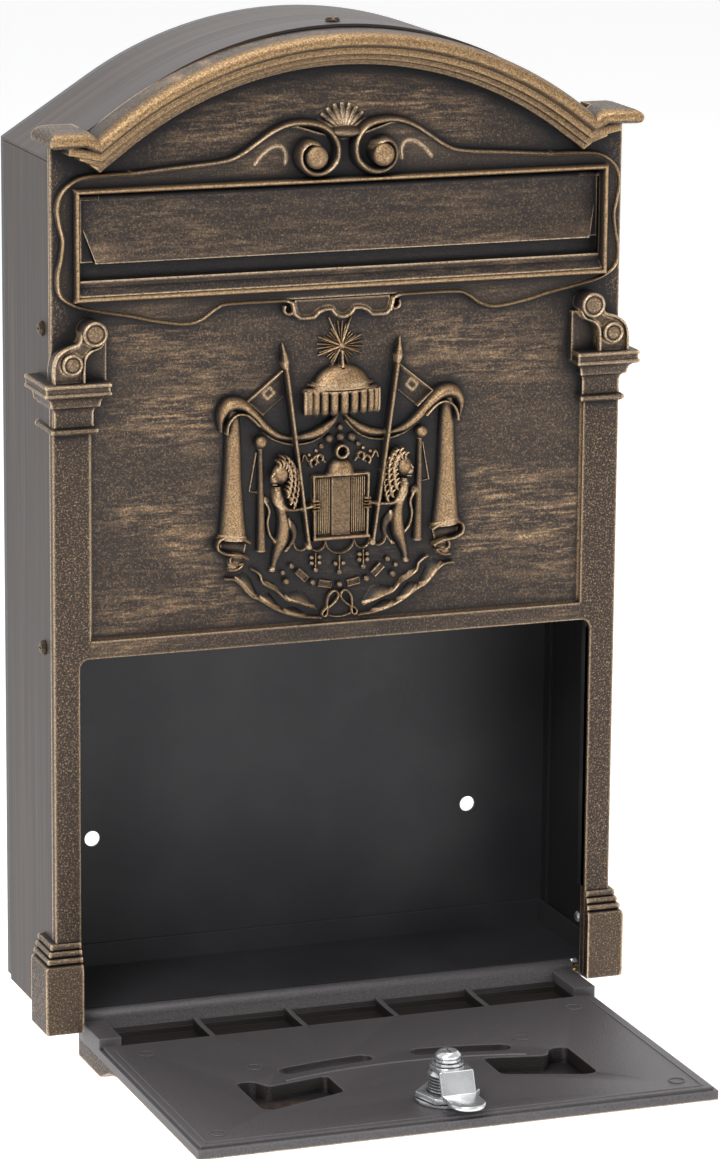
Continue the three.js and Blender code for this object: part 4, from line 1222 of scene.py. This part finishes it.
def round_pockets(bm):
    """Rounds the upright corners of the two hollows in the door's inner face."""
    low = TO_ROW @ Vector((33, -114, 0))
    high = TO_ROW @ Vector((72, -77, 0))
    radius = 0.0028
    upright = []
    for edge in bm.edges:
        a, b = (vert.co for vert in edge.verts)
        inside = low.x < abs(a.x) < high.x and low.y < a.y < high.y
        if inside and (a.xy - b.xy).length < SAME_PLACE:
            upright.append(edge)
    round_edges(bm, upright, radius, 4)


def softened_copy(node, name, body, material, width, shape=None):
    """A copy of a node with its loose triangles merged and its edges rounded, which takes the node's place.

    shape is a function that works on the merged mesh before its edges are rounded.
    """
    bm = bmesh.new()
    bm.from_mesh(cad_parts[node].data)
    bmesh.ops.remove_doubles(bm, verts=bm.verts, dist=SAME_PLACE)
    bmesh.ops.dissolve_limit(bm, angle_limit=math.radians(1), verts=bm.verts, edges=bm.edges)
    if shape:
        shape(bm)
    for face in bm.faces:
        face.smooth = True
    mesh = bpy.data.meshes.new(name)
    bm.to_mesh(mesh)
    bm.free()
    mesh.materials.append(material)
    piece = bpy.data.objects.new(name, mesh)
    bpy.context.scene.collection.objects.link(piece)
    rounding = piece.modifiers.new("rounding", "BEVEL")
    rounding.width = width
    rounding.segments = 2
    rounding.limit_method = "ANGLE"
    rounding.angle_limit = math.radians(30)
    rounding.harden_normals = True
    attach(piece, body)
    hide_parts(node)


def door_marks():
    """Raised margin line, the arched rib between the pockets and the pin marks on the door's inside."""
    bm = bmesh.new()
    half = 104.5
    margin = [(-half, -24), (-half, -140.5), (half, -140.5), (half, -24)]
    for start, end in zip(margin, margin[1:]):
        level_bead(bm, [start, end], 0.5, 0.35, DOOR_PANEL - 0.05)
    rib = [(x, -75.2 - x * x / 366) for x in range(-52, 53, 4)]
    level_bead(bm, rib, 0.7, 0.8, DOOR_PANEL - 0.1)
    pin_mark = [(3.5, -0.3), (3.5, 0.2), (3.2, 0.35), (2.9, 0.2), (2.9, -0.3)]
    for x, y in [(-94, -32), (94, -32), (-97, -132), (97, -132), (-58, -62), (58, -62)]:
        turned(bm, pin_mark, (x, y, DOOR_PANEL), steps=24)
    store("door_inner_marks", bm, DOOR_FINISH, "door")


def threaded_barrel():
    """Lock barrel with its flange outside the door and thread rings up to the cam."""
    bm = bmesh.new()
    flange = DOOR_FACE - 2.4
    under = DOOR_FACE - 0.3
    root, crest_radius, bore = 6.95, 7.95, 6.15
    profile = [(10.5, flange), (10.5, DOOR_FACE - 0.7), (9.9, under), (7.4, under)]
    pitch = 1.25
    turns = 13
    for turn in range(turns):
        z = DOOR_FACE + 0.5 + turn * pitch
        profile += [(root, z), (crest_radius, z + pitch * 0.42), (crest_radius, z + pitch * 0.58)]
    profile += [(root, 5.3), (bore, 5.4), (bore, flange)]
    turned(bm, profile, (LOCK_X, LOCK_Y, 0), steps=40)
    store("threaded_barrel", bm, ZINC, "door", angle=30, stands_for=("lock_barrel",))


def build_cabinet():
    face_plate()
    doorway_flange()
    cornice()
    plaque()
    slot_frame()
    slot_sill()
    shell_and_apron()
    for side in (-1, 1):
        bracket(side)
        pilaster(side)
    crest()
    for node in ("side_wall_left", "side_wall_right", "roof_sheet"):
        dress(node, BRUSHED)
    for node in ("back_panel", "floor_panel"):
        dress(node, CHARCOAL)
    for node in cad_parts:
        if "screw" in node and node != "cam_screw":
            dress(node, DARK_STEEL)
        if node.startswith("jamb_rivet"):
            dress(node, ZINC)
        if node.startswith("door_pin"):
            dress(node, BRASS)
    dress("flap_rod", ZINC)


def build_moving_pieces():
    softened_copy("letter_flap", "flap_leaf", "flap", FLAP_BRONZE, 0.0004)
    softened_copy("door_leaf", "door_panel", "door", DOOR_FINISH, 0.0006, shape=round_pockets)
    door_marks()
    threaded_barrel()
    softened_copy("lock_nut", "lock_hex_nut", "door", ZINC, 0.00035)
    softened_copy("cam_screw", "cam_screw_head", "lock", ZINC, 0.00018)
    softened_copy("lock_cam", "lock_cam_arm", "lock", ZINC, 0.0006)
    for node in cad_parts:
        if node.startswith(("lock_", "cam_")):
            dress(node, ZINC)


# ---------------------------------------------------------------------------
# Studio
# ---------------------------------------------------------------------------
def floor_and_world():
    """Plain pale floor a hand's width under the box, and a soft sky that is brighter behind."""
    bpy.ops.mesh.primitive_plane_add(size=12, location=(0, 1.5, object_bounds()[0][2] - 0.12))
    floor = bpy.context.object
    floor.name = "studio_floor"
    pale = Recipe("studio_white")
    pale.finish(rgb(0.9, 0.9, 0.9), 0.0, 0.9)
    pale.shader.inputs["Emission Color"].default_value = rgb(1, 1, 1)
    pale.shader.inputs["Emission Strength"].default_value = 0.35
    floor.data.materials.append(pale.material)
    world = bpy.data.worlds.new("studio")
    bpy.context.scene.world = world
    world.use_nodes = True
    tree = world.node_tree
    ground = tree.nodes["Background"]
    place = tree.nodes.new("ShaderNodeTexCoord")
    split = tree.nodes.new("ShaderNodeSeparateXYZ")
    ramp = tree.nodes.new("ShaderNodeValToRGB")
    tree.links.new(place.outputs["Generated"], split.inputs["Vector"])
    tree.links.new(split.outputs["Y"], ramp.inputs["Fac"])
    ramp.color_ramp.elements[0].color = rgb(0.42, 0.42, 0.43)
    ramp.color_ramp.elements[0].position = 0.0
    ramp.color_ramp.elements[1].color = rgb(1, 1, 1)
    ramp.color_ramp.elements[1].position = 0.45
    tree.links.new(ramp.outputs["Color"], ground.inputs["Color"])
    ground.inputs["Strength"].default_value = 1.0


def lamps():
    """Square soft lights turned towards the middle of the box."""
    aim = Vector((0, -0.08, 0))
    for name, place, size, power in [
        ("key", (-1.3, -1.5, 1.6), 0.9, 30),
        ("fill", (1.8, -1.6, 0.5), 1.4, 7),
        ("top", (0.1, -0.25, 1.9), 1.0, 14),
        ("floor_light", (0.2, 1.8, 1.8), 2.0, 10),
    ]:
        lamp = bpy.data.lights.new(name, "AREA")
        lamp.size = size
        lamp.energy = power
        holder = bpy.data.objects.new(name, lamp)
        holder.location = place
        holder.rotation_euler = (aim - Vector(place)).to_track_quat("-Z", "Y").to_euler()
        bpy.context.scene.collection.objects.link(holder)


def camera():
    """A long lens to the left of the box and a little above it."""
    data = bpy.data.cameras.new("camera")
    data.lens = 156.74
    data.sensor_width = 36
    data.shift_x = 0.0293
    data.shift_y = 0.0317
    data.clip_end = 50
    holder = bpy.data.objects.new("camera", data)
    spot = TO_ROW @ Vector((-693.7, -1887.4, 653.6))
    turn = Matrix.Rotation(math.radians(-20.025), 4, "Z")
    tilt = Matrix.Rotation(math.radians(76.24), 4, "X")
    roll = Matrix.Rotation(math.radians(0.396), 4, "Z")
    holder.matrix_world = Matrix.Translation(spot) @ turn @ tilt @ roll
    bpy.context.scene.collection.objects.link(holder)
    bpy.context.scene.camera = holder


build_cabinet()
build_moving_pieces()
floor_and_world()
lamps()
camera()
bpy.context.scene.view_settings.view_transform = "Standard"
